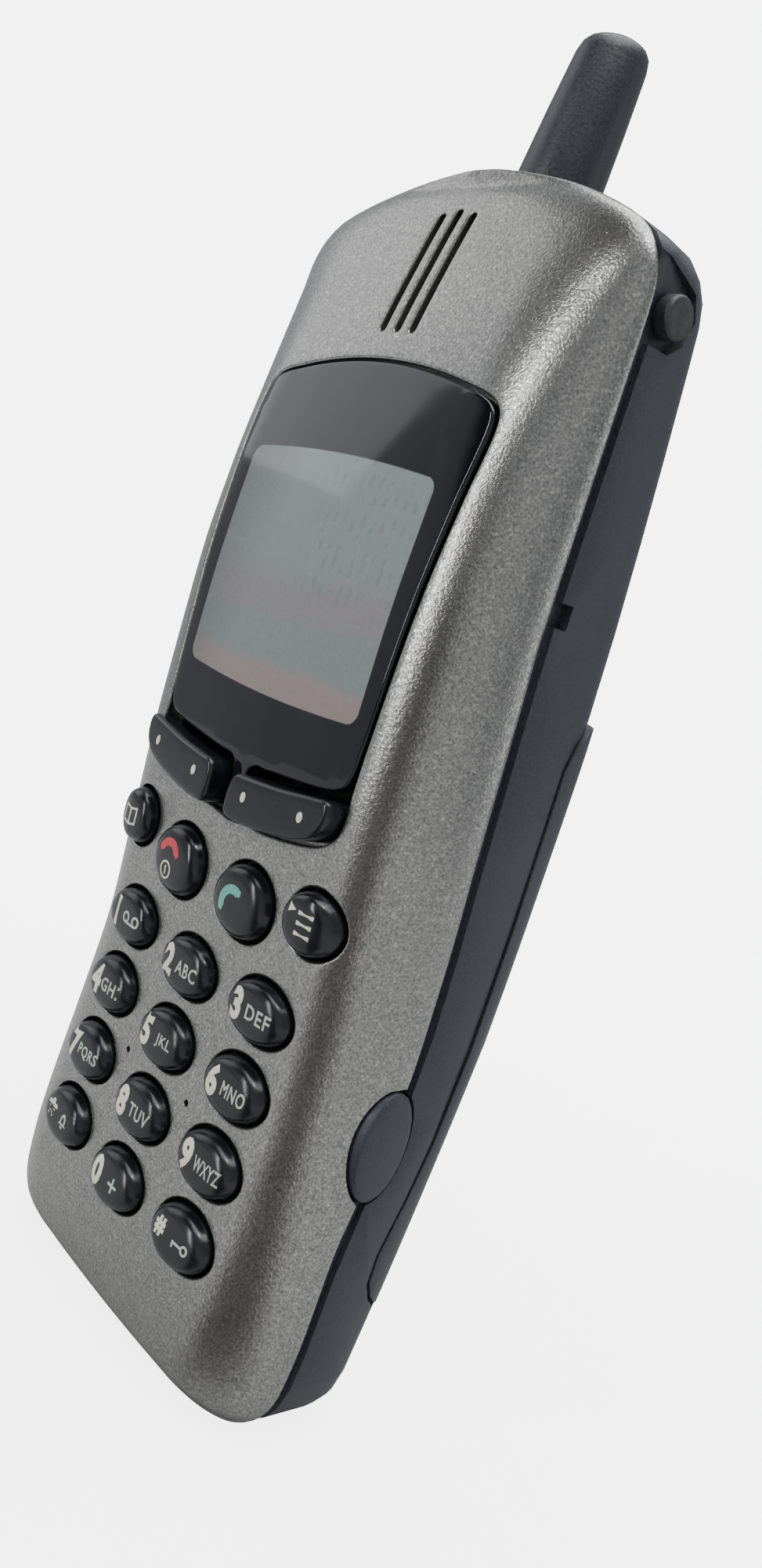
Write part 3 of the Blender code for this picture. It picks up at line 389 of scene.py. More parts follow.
LOOKS = {
    "silver": silver_paint(),
    "dark": dark_plastic("dark_plastic"),
    "antenna": dark_plastic("antenna", (0.009, 0.011, 0.018), (0.022, 0.026, 0.037), (0.34, 0.5)),
    "keys": key_gloss(),
    "window": window_gloss(),
    "lcd": lcd(),
    "mat": plain("mat_rubber", (0.08, 0.08, 0.085), (0.13, 0.13, 0.135), 1800.0, (0.6, 0.8)),
    "plug": plain("plug_rubber", (0.022, 0.023, 0.026), (0.045, 0.047, 0.052), 2600.0, (0.45, 0.65),
                  0.00004),
    "inner": plain("inner_plastic", (0.03, 0.03, 0.033), (0.055, 0.055, 0.06), 2200.0, (0.4, 0.6)),
    "guide": plain("light_guide", (0.78, 0.8, 0.79), (0.88, 0.89, 0.88), 1200.0, (0.3, 0.4)),
    "board": plain("board", (0.008, 0.035, 0.018), (0.014, 0.06, 0.03), 700.0, (0.3, 0.45)),
    "can": plain("can_steel", (0.62, 0.62, 0.62), (0.75, 0.75, 0.74), 900.0, (0.25, 0.4), 0.00001, 1.0),
    "cell": plain("cell_case", (0.5, 0.52, 0.55), (0.62, 0.64, 0.67), 800.0, (0.3, 0.45), 0.00001, 0.9),
    "brass": plain("brass", (0.7, 0.54, 0.22), (0.82, 0.66, 0.33), 900.0, (0.22, 0.36), 0.00001, 1.0),
    "screw": plain("screw", (0.18, 0.18, 0.19), (0.3, 0.3, 0.31), 1400.0, (0.3, 0.45), 0.00001, 1.0),
    "print_cream": plain("print_cream", (0.74, 0.73, 0.56), (0.84, 0.83, 0.67), 2600.0, (0.4, 0.55)),
    "print_green": plain("print_green", (0.46, 0.55, 0.46), (0.56, 0.64, 0.55), 2600.0, (0.4, 0.55)),
    "print_red": plain("print_red", (0.62, 0.03, 0.05), (0.74, 0.055, 0.08), 2600.0, (0.35, 0.5)),
    "print_teal": plain("print_teal", (0.10, 0.42, 0.33), (0.15, 0.52, 0.42), 2600.0, (0.35, 0.5)),
    "floor": pale_floor(),
}
floor_mesh.materials.append(LOOKS["floor"])

WORN_BY = {
    "silver": ("front_shell",), "window": ("display_window",), "lcd": ("lcd_glass",), "mat": ("keypad_mat",),
    "dark": ("rear_shell", "battery_cover", "release_left", "release_right"), "antenna": ("antenna_cover",),
    "inner": ("lcd_holder", "sim_holder", "battery_base", "system_connector", "battery_connector",
              "earpiece", "microphone", "ringer"),
    "plug": ("socket_plug",), "guide": ("backlight",), "board": ("main_board", "battery_circuit"),
    "can": ("shield_radio", "shield_logic", "shield_power"), "brass": ("antenna_rod",),
    "cell": ("battery_cell_left", "battery_cell_right", "backup_cell"),
}
WEARS = {node_name: look for look, node_names in WORN_BY.items() for node_name in node_names}
for node_name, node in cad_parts.items():
    look = WEARS.get(node_name, "screw" if node_name.startswith("screw") else "keys")
    node.data.materials.clear()
    node.data.materials.append(LOOKS[look])

# -------- shape of the phone, millimetres
# x to the right, y back from the face, z up from the foot
WIDTH = 47.0
LENGTH = 118.5
FOOT_CORNER_R = 6.0
TOP_ARC_R, TOP_ARC_Z, TOP_CORNER_R = 48.0, 70.5, 7.0
EDGE_WIDE, EDGE_MORE, EDGE_FROM, EDGE_OVER = 9.0, 5.0, 80.0, 38.0
FACE_CROWN = 0.0019
TOP_ROUND, FOOT_ROUND = 3.0, 3.6
SHIFT = -10.48
MM = 0.001
WALL = 1.5
GAP = 0.35
TOP_CUT = 118.35
FACE = [(0.0, 1.35), (11.3, 0.1), (23.0, 0.75), (36.3, 1.25), (48.0, 0.6), (61.3, 0.0),
        (74.0, -0.1), (86.3, 0.43), (99.0, 2.2), (111.3, 5.1), (118.5, 7.3)]
SEAM = [(0.0, 6.2), (4.0, 6.9), (11.0, 7.9), (19.8, 8.3), (26.3, 9.3), (38.8, 10.8), (48.0, 10.6),
        (59.3, 9.9), (72.0, 9.2), (79.0, 8.8), (92.0, 8.8), (106.0, 8.8), (112.0, 8.2), (118.5, 7.9)]


def hermite(t):
    """Weights of start point, start slope, end point and end slope."""
    return 2 * t**3 - 3 * t**2 + 1, t**3 - 2 * t**2 + t, -2 * t**3 + 3 * t**2, t**3 - t**2


def curve(table):
    """Monotone cubic through the table, as a function of height."""
    zs = [p[0] for p in table]
    vs = [p[1] for p in table]
    step = [zs[i + 1] - zs[i] for i in range(len(zs) - 1)]
    slope = [(vs[i + 1] - vs[i]) / step[i] for i in range(len(step))]
    tangent = [slope[0]]
    for i in range(1, len(zs) - 1):
        if slope[i - 1] * slope[i] > 0.0:
            w1 = 2.0 * step[i] + step[i - 1]
            w2 = step[i] + 2.0 * step[i - 1]
            tangent.append((w1 + w2) / (w1 / slope[i - 1] + w2 / slope[i]))
        else:
            tangent.append(0.0)
    tangent.append(slope[-1])

    def at(z):
        z = min(max(z, zs[0]), zs[-1])
        i = 0
        while i < len(step) - 1 and z >= zs[i + 1]:
            i += 1
        h = step[i]
        a, b, c, d = hermite((z - zs[i]) / h)
        return a * vs[i] + b * h * tangent[i] + c * vs[i + 1] + d * h * tangent[i + 1]
    return at


face_at = curve(FACE)
seam_at = curve(SEAM)


def half_width(z):
    """Half width of the outline: rounded foot, straight sides, rounded corners and the top arc."""
    w = WIDTH / 2
    if z < FOOT_CORNER_R:
        return w - FOOT_CORNER_R + math.sqrt(max(FOOT_CORNER_R**2 - (FOOT_CORNER_R - z)**2, 0.0))
    inner_r = TOP_ARC_R - TOP_CORNER_R
    corner_z = TOP_ARC_Z + math.sqrt(inner_r**2 - (w - TOP_CORNER_R)**2)
    if z <= corner_z:
        return w
    if z < TOP_ARC_Z + TOP_ARC_R * (corner_z - TOP_ARC_Z) / inner_r:
        return w - TOP_CORNER_R + math.sqrt(max(TOP_CORNER_R**2 - (z - corner_z)**2, 0.0))
    return math.sqrt(max(TOP_ARC_R**2 - (z - TOP_ARC_Z)**2, 0.0))


def end_round(z, radius, foot):
    """How far the face steps back where it rounds off at either end."""
    extra = 0.0
    if z < foot:
        extra = foot - math.sqrt(max(foot**2 - (foot - z)**2, 0.0))
    top = LENGTH - z
    if top < radius:
        extra = max(extra, radius - math.sqrt(max(radius**2 - (radius - top)**2, 0.0)))
    return extra


def cross_section(z):
    """Seam depth, middle depth, half width and width of the rounded edge at one height."""
    seam = seam_at(z)
    front = min(face_at(z) + end_round(z, TOP_ROUND, FOOT_ROUND), seam - 0.9)
    hw = half_width(z)
    wide = min(EDGE_WIDE + EDGE_MORE * max(0.0, (z - EDGE_FROM) / EDGE_OVER), hw - 0.5)
    return seam, front, hw, wide


def face_depth(x, z):
    """Front surface depth at a point of the face."""
    seam, front, hw, wide = cross_section(z)
    flat = hw - wide
    crown = FACE_CROWN * min(abs(x), flat)**2
    ax = abs(x) - flat
    if ax <= 0.0:
        return front + crown
    reach = max(seam - front - crown, 0.2)
    s = min(ax / wide, 1.0)
    return seam - reach * math.sqrt(max(1.0 - s * s, 0.0))


def side_at_depth(z, y):
    """Half width of the front surface where it reaches this depth."""
    seam, front, hw, wide = cross_section(z)
    reach = max(seam - front - FACE_CROWN * (hw - wide)**2, 0.2)
    k = min(max((seam - y) / reach, 0.0), 1.0)
    return hw - wide + wide * math.sqrt(1.0 - k * k)


def smooth_loop(points, steps, corners=()):
    """Closed Catmull-Rom loop through the points; corners keep their corner."""
    n = len(points)
    out = []
    for i in range(n):
        p0, p1, p2, p3 = points[i - 1], points[i], points[(i + 1) % n], points[(i + 2) % n]
        d0, d, d3 = math.dist(p0, p1), math.dist(p1, p2), math.dist(p2, p3)
        m1 = [d * (p2[k] - p0[k]) / (d0 + d) for k in (0, 1)]
        m2 = [d * (p3[k] - p1[k]) / (d + d3) for k in (0, 1)]
        if i in corners:
            m1 = [p2[k] - p1[k] for k in (0, 1)]
        if (i + 1) % n in corners:
            m2 = [p2[k] - p1[k] for k in (0, 1)]
        for j in range(steps):
            a, b, c, e = hermite(j / steps)
            out.append(tuple(a * p1[k] + b * m1[k] + c * p2[k] + e * m2[k] for k in (0, 1)))
    return out


def grow_loop(points, amount):
    """Loop moved outwards (the points run anticlockwise)."""
    n = len(points)
    out = []
    for i in range(n):
        a, b, c = points[i - 1], points[i], points[(i + 1) % n]
        tx, tz = c[0] - a[0], c[1] - a[1]
        length = math.hypot(tx, tz) or 1.0
        out.append((b[0] + amount * tz / length, b[1] - amount * tx / length))
    return out


def even_loop(points, spacing):
    """The same loop with evenly spaced points."""
    n = len(points)
    total = [0.0]
    for i in range(n):
        total.append(total[-1] + math.dist(points[i], points[(i + 1) % n]))
    count = max(int(total[-1] / spacing), 12)
    out = []
    i = 0
    for k in range(count):
        d = total[-1] * k / count
        while total[i + 1] < d:
            i += 1
        t = (d - total[i]) / max(total[i + 1] - total[i], 1e-9)
        a, b = points[i], points[(i + 1) % n]
        out.append((a[0] + (b[0] - a[0]) * t, a[1] + (b[1] - a[1]) * t))
    return out


def oval(cx, cz, rx, rz, n=64):
    """Anticlockwise ellipse of n points."""
    turns = [2 * math.pi * i / n for i in range(n)]
    return [(cx + rx * math.cos(a), cz + rz * math.sin(a)) for a in turns]


def bounds_of(points):
    """Lowest and highest x and z of a loop."""
    xs = [p[0] for p in points]
    zs = [p[1] for p in points]
    return min(xs), max(xs), min(zs), max(zs)


def mirror(points):
    """Closed loop from its right half, running anticlockwise from the lowest point."""
    return points + [(-x, z) for x, z in reversed(points[1:-1])]


def in_any(p, loops, boxes):
    """Whether a point lies inside any of the loops, whose bounds are given."""
    return any(b[0] < p[0] < b[1] and b[2] < p[1] < b[3] and inside(p, g) for g, b in zip(loops, boxes))


def inside(p, loop):
    """Whether a point lies inside a closed loop."""
    hit = False
    n = len(loop)
    for i in range(n):
        (x0, z0), (x1, z1) = loop[i - 1], loop[i]
        if (z0 > p[1]) != (z1 > p[1]) and p[0] < (x1 - x0) * (p[1] - z0) / (z1 - z0) + x0:
            hit = not hit
    return hit


def placed(name, mesh, look, body, angle):
    """Object for a finished mesh, shaded, dressed and riding on its body."""
    mesh.shade_smooth()
    mesh.set_sharp_from_angle(angle=math.radians(angle))
    mesh.materials.append(LOOKS[look])
    obj = bpy.data.objects.new(name, mesh)
    scene.collection.objects.link(obj)
    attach(obj, body)
    return obj


def piece(name, verts, faces, look, body, angle):
    """New visible piece from millimetre points, smooth shaded."""
    mesh = bpy.data.meshes.new(name)
    mesh.from_pydata([(x * MM, (y + SHIFT) * MM, z * MM) for x, y, z in verts], [], faces)
    bm = bmesh.new()
    bm.from_mesh(mesh)
    bmesh.ops.remove_doubles(bm, verts=bm.verts, dist=0.000002)
    bmesh.ops.dissolve_degenerate(bm, dist=0.0000005, edges=bm.edges)
    bmesh.ops.recalc_face_normals(bm, faces=bm.faces)
    bm.to_mesh(mesh)
    bm.free()
    return placed(name, mesh, look, body, angle)


def ring_edges(start, n):
    """Edges of a closed ring of n points."""
    return [(start + i, start + (i + 1) % n) for i in range(n)]


def bridge(rings, n):
    """Faces between rings of n points that follow each other in the vertex list."""
    faces = []
    for r in range(rings - 1):
        for i in range(n):
            j = (i + 1) % n
            faces.append((r * n + i, (r + 1) * n + i, (r + 1) * n + j, r * n + j))
    return faces


def capped_piece(name, rings, grid, margin, depth_at, look, body, angle):
    """Piece from rings of equal length: flat behind, with a fine top through the grid points given."""
    n = len(rings[0])
    verts = [p for r in rings for p in r]
    faces = bridge(len(rings), n)
    last = len(verts) - n
    flat = [(x, z) for x, _, z in verts[last:]]
    keep_in = grow_loop(flat, -margin)
    points = flat + [q for q in grid(flat) if inside(q, keep_in)]
    edges = ring_edges(0, n)
    filled, _, new_faces, source, _, _ = delaunay_2d_cdt([Vector(p) for p in points], edges, [], 1, 1e-5)
    place = {new: last + old for new, olds in enumerate(source) for old in olds if old < n}
    for new, v in enumerate(filled):
        if new not in place:
            place[new] = len(verts)
            verts.append((v[0], depth_at(v[0], v[1]), v[1]))
    faces += [tuple(place[i] for i in f) for f in new_faces]
    faces.append(tuple(range(n)))
    return piece(name, verts, faces, look, body, angle)


# -------- openings of the face
KEY_PITCH_X, KEY_PITCH_Z = 11.7, 7.68
KEY_ROW_MIDDLE = 26.3
KEY_OUTER_LIFT = 0.62
KEY_HALF_X, KEY_HALF_Z = 4.15, 2.85
KEY_RISE = 1.45
CALL_X, CALL_Z, CALL_HALF_X, CALL_HALF_Z = 5.71, 46.94, 4.05, 3.55
MENU_X, MENU_Z, MENU_HALF_X, MENU_HALF_Z = 15.2, 48.6, 3.2, 2.95
KEYS = []
for row, names in enumerate((("key_1", "key_2", "key_3"), ("key_4", "key_5", "key_6"),
                             ("key_7", "key_8", "key_9"), ("key_star", "key_0", "key_hash"))):
    for col, key_name in enumerate(names):
        key_z = KEY_ROW_MIDDLE + (1.5 - row) * KEY_PITCH_Z + (KEY_OUTER_LIFT if col != 1 else 0.0)
        KEYS.append((key_name, (col - 1) * KEY_PITCH_X, key_z, KEY_HALF_X, KEY_HALF_Z))
KEYS += [("key_end", -CALL_X, CALL_Z, CALL_HALF_X, CALL_HALF_Z),
         ("key_call", CALL_X, CALL_Z, CALL_HALF_X, CALL_HALF_Z),
         ("key_phonebook", -MENU_X, MENU_Z, MENU_HALF_X, MENU_HALF_Z),
         ("key_menu", MENU_X, MENU_Z, MENU_HALF_X, MENU_HALF_Z)]

# right halves of the window and of its opening, and the right bar key, from the lowest point up
WINDOW_HALF = [(0.0, 53.6), (0.55, 53.6), (1.0, 57.4), (1.6, 59.1), (4.0, 59.35), (8.5, 59.75), (13.2, 60.4),
               (14.8, 61.4), (15.35, 64.5), (15.7, 72.0), (16.1, 80.0), (16.55, 88.0), (16.75, 93.0),
               (16.4, 95.2), (15.2, 96.3), (12.0, 97.15), (8.0, 97.9), (4.0, 98.35), (0.0, 98.5)]
OPENING_HALF = [(0.0, 53.35), (2.5, 53.66), (6.0, 53.85), (10.6, 54.56), (13.55, 55.42), (15.2, 56.8),
                (15.66, 58.6), (15.58, 60.6), (15.66, 64.5), (16.0, 72.0), (16.4, 80.0), (16.85, 88.0),
                (17.05, 93.0), (16.68, 95.35), (15.35, 96.6), (12.05, 97.45), (8.05, 98.2), (4.0, 98.65),
                (0.0, 98.8)]
SOFTKEY = [(1.75, 54.6), (2.6, 54.05), (6.0, 54.2), (10.5, 54.9), (13.4, 55.75), (14.9, 57.0), (15.35, 58.6),
           (14.9, 59.65), (13.4, 59.6), (8.5, 58.9), (4.0, 58.5), (2.3, 58.3), (1.65, 57.2)]

opening = even_loop(smooth_loop(mirror(OPENING_HALF), 6), 0.45)
window_loop = even_loop(smooth_loop(mirror(WINDOW_HALF), 6, (0, 1, 2)), 0.4)
softkey_right_loop = even_loop(smooth_loop(SOFTKEY, 6), 0.3)


def slot_loop(cx, z0, z1, half):
    """Upright slot with round ends, anticlockwise."""
    low, high, count = z0 + half, z1 - half, 14
    turns = [math.pi * k / 16 for k in range(17)]
    drop = z1 - z0 - 2 * half
    return ([(cx + half * math.cos(a), high + half * math.sin(a)) for a in turns]
            + [(cx - half, high - drop * k / count) for k in range(1, count)]
            + [(cx + half * math.cos(math.pi + a), low + half * math.sin(math.pi + a)) for a in turns]
            + [(cx + half, low + drop * k / count) for k in range(1, count)])


# -------- front shell
FLAT_HALF, COLS_HALF = 26.0, 25.6
FOOT_WALL_Z, TOP_WALL_Z, TOP_WALL_SPAN = 8.0, 110.0, 8.35
BUTTON_Z, BUTTON_HALF, BUTTON_Y, BUTTON_REACH = 30.6, 5.85, 9.9, 3.35
EAR_STEP, EAR_LOW, EAR_HIGH, EAR_HALF = 2.12, 101.5, 113.8, 0.45
PINHOLE_X, PINHOLE_Z, PINHOLE_R = 5.75, 26.1, 0.33


def to_flat(x, z):
    """The face unrolled, so that its sides get as many points as its middle."""
    hw = half_width(z)
    return (FLAT_HALF * math.asin(min(max(x / hw, -1.0), 1.0)) * 2 / math.pi, z)


def from_flat(p, z):
    return half_width(z) * math.sin(math.pi / 2 * min(max(p / FLAT_HALF, -1.0), 1.0))


def inner_place(x, z):
    """Inner wall point behind a point of the face."""
    hw = half_width(z)
    t = abs(x) / hw
    nx = x * (1.0 - WALL / hw * t**6)
    nz = z
    if z < FOOT_WALL_Z:
        nz = z + WALL * (1.0 - z / FOOT_WALL_Z)**2
    if z > TOP_WALL_Z:
        nz = z - WALL * ((z - TOP_WALL_Z) / TOP_WALL_SPAN)**2
    return (nx, min(face_depth(x, z) + WALL, seam_at(z)), nz)


def bite_half(z):
    """Half width of the shell beside the oval battery button."""
    k = (z - BUTTON_Z) / BUTTON_HALF
    if abs(k) >= 1.0:
        return half_width(z)
    y = BUTTON_Y - BUTTON_REACH * math.sqrt(1.0 - k * k)
    if y >= seam_at(z):
        return half_width(z)
    return side_at_depth(z, y)


def front_shell():
    """Face of the phone with rounded openings and an inner wall."""
    rim = 0.32
    holes = []
    for name, x, z, hx, hz in KEYS:
        holes.append((lambda g, x=x, z=z, hx=hx, hz=hz: oval(x, z, hx + GAP + g, hz + GAP + g), rim, ()))
    holes.append((lambda g: grow_loop(opening, g), rim, ((0.0, 1.6), (-1.3, 1.6), (-1.3, 3.0))))
    for i in (-1, 0, 1):
        x, high = i * EAR_STEP, EAR_HIGH + (0.4 if i == 0 else 0.0)
        holes.append((lambda g, x=x, high=high: slot_loop(x, EAR_LOW - g, high + g, EAR_HALF + g), 0.16, ()))
    for x in (-PINHOLE_X, PINHOLE_X):
        holes.append((lambda g, x=x: oval(x, PINHOLE_Z, PINHOLE_R + g, PINHOLE_R + g, 20), 0.06, ()))

    verts2, edges = [], []
    loops = []
    hole_loops = [make_loop(r) for make_loop, r, _ in holes]
    for loop in hole_loops:
        start = len(verts2)
        verts2 += [to_flat(x, z) for x, z in loop]
        edges += ring_edges(start, len(loop))
        loops.append((start, len(loop)))
    # outer edge, anticlockwise from the lower left
    low_rows = [0.0, 0.15, 0.35, 0.6, 0.95, 1.4, 2.0, 2.7, 3.6]
    top_rows = [113.0, 113.9, 114.7, 115.4, 116.0, 116.55, 117.0, 117.4, 117.75, 118.0, 118.2, TOP_CUT]
    mid_rows = [low_rows[-1] + (top_rows[0] - low_rows[-1]) * i / 122 for i in range(1, 122)]
    rows = low_rows + mid_rows + top_rows
    bite_rows = [BUTTON_Z - BUTTON_HALF + 2 * BUTTON_HALF * i / 40 for i in range(41)]
    side_rows = sorted(set(rows + bite_rows))
    side_rows = [z for i, z in enumerate(side_rows) if i == 0 or z - side_rows[i - 1] > 0.12]
    cols = [-COLS_HALF + 2 * COLS_HALF * i / 58 for i in range(59)]
    border = [(p, 0.0) for p in [-FLAT_HALF] + cols]
    border += [(to_flat(bite_half(z), z)[0], z) for z in side_rows]
    border += [(p, TOP_CUT) for p in reversed(cols)]
    border += [(to_flat(-bite_half(z), z)[0], z) for z in reversed(side_rows[1:])]
    border_start = len(verts2)
    verts2 += border
    n = len(border)
    edges += ring_edges(border_start, n)
    guards = [make_loop(r + 0.4) for make_loop, r, _ in holes]
    boxes = [bounds_of(g) for g in guards]
    for make_loop, r, _ in holes:
        verts2 += [to_flat(x, z) for x, z in make_loop(r + 0.5)[::2]]
    for z in rows[1:-1]:
        reach = abs(to_flat(bite_half(z), z)[0]) - 0.25
        for p in cols:
            if abs(p) <= reach and not in_any((from_flat(p, z), z), guards, boxes):
                verts2.append((p, z))
    out_verts, _, out_faces, source, _, _ = delaunay_2d_cdt([Vector(v) for v in verts2], edges, [], 1, 1e-5)
    place = {old: new for new, olds in enumerate(source) for old in olds}
    hole_boxes = [bounds_of(g) for g in hole_loops]
    space = [(from_flat(v[0], v[1]), v[1]) for v in out_verts]
    faces = []
    for f in out_faces:
        cx = sum(space[i][0] for i in f) / len(f)
        cz = sum(space[i][1] for i in f) / len(f)
        if not in_any((cx, cz), hole_loops, hole_boxes):
            faces.append(tuple(f))
    verts = [(x, face_depth(x, z), z) for x, z in space]
    count = len(verts)
    verts += [inner_place(x, z) for x, z in space]
    all_faces = faces + [tuple(count + i for i in reversed(f)) for f in faces]

    def strip(a, b):
        m = len(a)
        for i in range(m):
            j = (i + 1) % m
            all_faces.append((a[i], a[j], b[j], b[i]))

    def ring(points):
        start = len(verts)
        verts.extend(points)
        return list(range(start, start + len(points)))

    for (make_loop, r, extra), (start, size) in zip(holes, loops):
        last = [place[start + i] for i in range(size)]
        inner = [count + i for i in last]
        turns = [math.radians(degrees) for degrees in (22.5, 45.0, 67.5, 90.0)]
        steps = [(r * (1.0 - math.sin(a)), r * (1.0 - math.cos(a))) for a in turns]
        steps += [*extra, (0.9, extra[-1][1])] if extra else [(0.0, WALL - 0.1)]
        for g, depth in steps:
            now = ring([(x, face_depth(x, z) + depth, z) for x, z in make_loop(g)])
            strip(last, now)
            last = now
        strip(last, inner)
    edge = [place[border_start + i] for i in range(n)]
    rim1, rim2, rim3 = [], [], []
    for i in range(n):
        p, z = border[i]
        x, y, _ = verts[edge[i]]
        ix, iy, iz = verts[count + edge[i]]
        seam = seam_at(z)
        sx = 1.0 if x > 0 else -1.0
        if z <= 0.0 or z >= TOP_CUT:
            rim1.append((x, seam - 0.15, z))
            rim2.append((x * 0.995, seam, z + (0.15 if z <= 0.0 else -0.15)))
            rim3.append((ix, seam, iz))
        else:
            bite = y < seam - 0.02
            rim1.append((x - sx * 0.06, y + (0.0 if bite else 0.06), z))
            rim2.append((x - sx * 0.22, y + (0.04 if bite else 0.13), z))
            rim3.append((ix, max(iy, y + 0.13), iz))
    r1, r2, r3 = ring(rim1), ring(rim2), ring(rim3)
    strip(edge, r1)
    strip(r1, r2)
    strip(r2, r3)
    strip(r3, [count + i for i in edge])
    obj = piece("shell_front_skin", verts, all_faces, "silver", "phone", 50.0)
    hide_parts("front_shell")


def seam_baffle(side, name):
    """Short rib inside the seam, so that no light shows through the phone below the keypad mat."""
    inset, thick, ahead, behind = 1.75, 0.3, 0.9, 1.3
    verts, faces = [], []
    for z in (5.4, 6.6, 7.8, 9.0, 10.2, 11.4, 12.4):
        x = half_width(z) - inset
        seam = seam_at(z)
        for dx, dy in ((0.0, -ahead), (0.0, behind), (-thick, behind), (-thick, -ahead)):
            verts.append((side * (x + dx), seam + dy, z))
    rows = len(verts) // 4
    for k in range(rows - 1):
        for i in range(4):
            j = (i + 1) % 4
            faces.append((4 * k + i, 4 * k + j, 4 * k + 4 + j, 4 * k + 4 + i)[::side])
    faces.append((0, 3, 2, 1)[::side])
    last = 4 * (rows - 1)
    faces.append((last, last + 1, last + 2, last + 3)[::side])
    piece(name, verts, faces, "inner", "phone", 30.0)


# -------- keys
DOME = curve([(0.0, -1.0), (0.34, -0.995), (0.64, -0.94), (0.82, -0.78), (0.93, -0.48), (1.0, 0.0)])


def key_lift(s):
    """Height of a cap from 1 in the middle to 0 at its rim."""
    return -DOME(min(max(s, 0.0), 1.0))


def key_surface(key, x, z):
    """Depth of the cap's outer surface at a point."""
    _, cx, cz, hx, hz = key
    s = math.sqrt(((x - cx) / hx)**2 + ((z - cz) / hz)**2)
    return face_depth(x, z) - KEY_RISE * key_lift(s) - 0.10


def key_piece(key):
    """Domed oval cap of one key."""
    name, cx, cz, hx, hz = key
    n = 72
    rings = []
    for s in (0.12, 0.25, 0.38, 0.5, 0.6, 0.68, 0.75, 0.81, 0.86, 0.9, 0.935, 0.96, 0.98, 0.993, 1.0):
        rings.append([(x, key_surface(key, x, z), z) for x, z in oval(cx, cz, hx * s, hz * s, n)])
    for depth in (0.8, 1.75):
        rings.append([(x, face_depth(x, z) + depth, z) for x, z in oval(cx, cz, hx, hz, n)])
    verts = [p for r in rings for p in r] + [(cx, key_surface(key, cx, cz), cz)]
    top = len(verts) - 1
    faces = [(top, i, (i + 1) % n) for i in range(n)] + bridge(len(rings), n)
    faces.append(tuple((len(rings) - 1) * n + i for i in range(n)))
    obj = piece(name + "_cap", verts, faces, "keys", name, 60.0)
    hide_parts(name)


BAR_TOP, BAR_BOW = -2.15, 0.0035


def bar_depth(x):
    """Depth of the bar keys' slightly bowed tops."""
    return BAR_TOP + BAR_BOW * x * x


def bar_grid(flat):
    """Points inside the bounds of a bar key's top."""
    x0, x1, z0, z1 = bounds_of(flat)
    return [(x0 + (x1 - x0) * i / 24, z0 + (z1 - z0) * j / 9) for i in range(1, 24) for j in range(1, 9)]


def softkey_piece(side, name):
    """Bar key below the window, with rounded rims."""
    loop = [(side * x, z) for x, z in softkey_right_loop[::side]]
    insets = [0.0, 0.03, 0.10, 0.20, 0.33, 0.50, 0.8]
    drops = [0.60, 0.36, 0.19, 0.09, 0.03, 0.005, 0.0]
    rings = [[(x, 4.0, z) for x, z in loop]]
    for inset, drop in zip(insets, drops):
        rings.append([(x, bar_depth(x) + drop, z) for x, z in grow_loop(loop, -inset)])
    obj = capped_piece(name + "_bar", rings, bar_grid, 0.25, lambda x, z: bar_depth(x),
                       "keys", name, 60.0)
    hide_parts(name)


# -------- display window
WINDOW_PROUD = 0.12


def window_piece():
    """Arched lens with a rounded rim, following the face."""
    rings = []
    for inset, drop in ((0.0, 1.2), (0.0, 0.3), (0.02, 0.16), (0.08, 0.06), (0.18, 0.01), (0.3, 0.0)):
        loop = grow_loop(window_loop, -inset)
        rings.append([(x, face_depth(x, z) - WINDOW_PROUD + drop, z) for x, z in loop])
    grid = [(i * 1.0, 53.0 + j * 0.9) for i in range(-17, 18) for j in range(54)]
    obj = capped_piece("window_lens", rings, lambda flat: grid, 0.45,
                       lambda x, z: face_depth(x, z) - WINDOW_PROUD, "window", "phone", 50.0)
    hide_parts("display_window")


# -------- printed legends
PRINT_LIFT, PRINT_CELL = 0.03, 0.3


def printed(name, outlines, surface, look, body):
    """Thin raised print: flat polygons cut fine and laid on a surface."""
    bm = bmesh.new()
    for loops in outlines:
        points, edges = [], []
        for loop in loops:
            start = len(points)
            points += loop
            edges += ring_edges(start, len(loop))
        x0, x1, z0, z1 = bounds_of(points)
        nx, nz = int((x1 - x0) / PRINT_CELL) + 1, int((z1 - z0) / PRINT_CELL) + 1
        for i in range(1, nx):
            for j in range(1, nz):
                q = (x0 + (x1 - x0) * i / nx, z0 + (z1 - z0) * j / nz)
                if within(q, loops):
                    points.append(q)
        vs, _, fs, _, _, _ = delaunay_2d_cdt([Vector(p) for p in points], edges, [], 0, 1e-6)
        keep = [f for f in fs if within([sum(vs[i][k] for i in f) / 3.0 for k in (0, 1)], loops)]
        used = sorted({i for f in keep for i in f})
        deep = {i: surface(vs[i][0], vs[i][1]) for i in used}
        top = {i: bm.verts.new((vs[i][0], deep[i] - PRINT_LIFT, vs[i][1])) for i in used}
        low = {i: bm.verts.new((vs[i][0], deep[i] + 0.02, vs[i][1])) for i in used}
        sides = {}
        for f in keep:
            bm.faces.new([top[i] for i in f])
            bm.faces.new([low[i] for i in reversed(f)])
            for k in range(3):
                sides[f[k], f[(k + 1) % 3]] = True
        for a, b in sides:
            if (b, a) not in sides:
                bm.faces.new([top[b], top[a], low[a], low[b]])
    mesh = bpy.data.meshes.new(name)
    for v in bm.verts:
        v.co = (v.co.x * MM, (v.co.y + SHIFT) * MM, v.co.z * MM)
    bmesh.ops.recalc_face_normals(bm, faces=bm.faces)
    bm.to_mesh(mesh)
    bm.free()
    placed(name, mesh, look, body, 40.0)


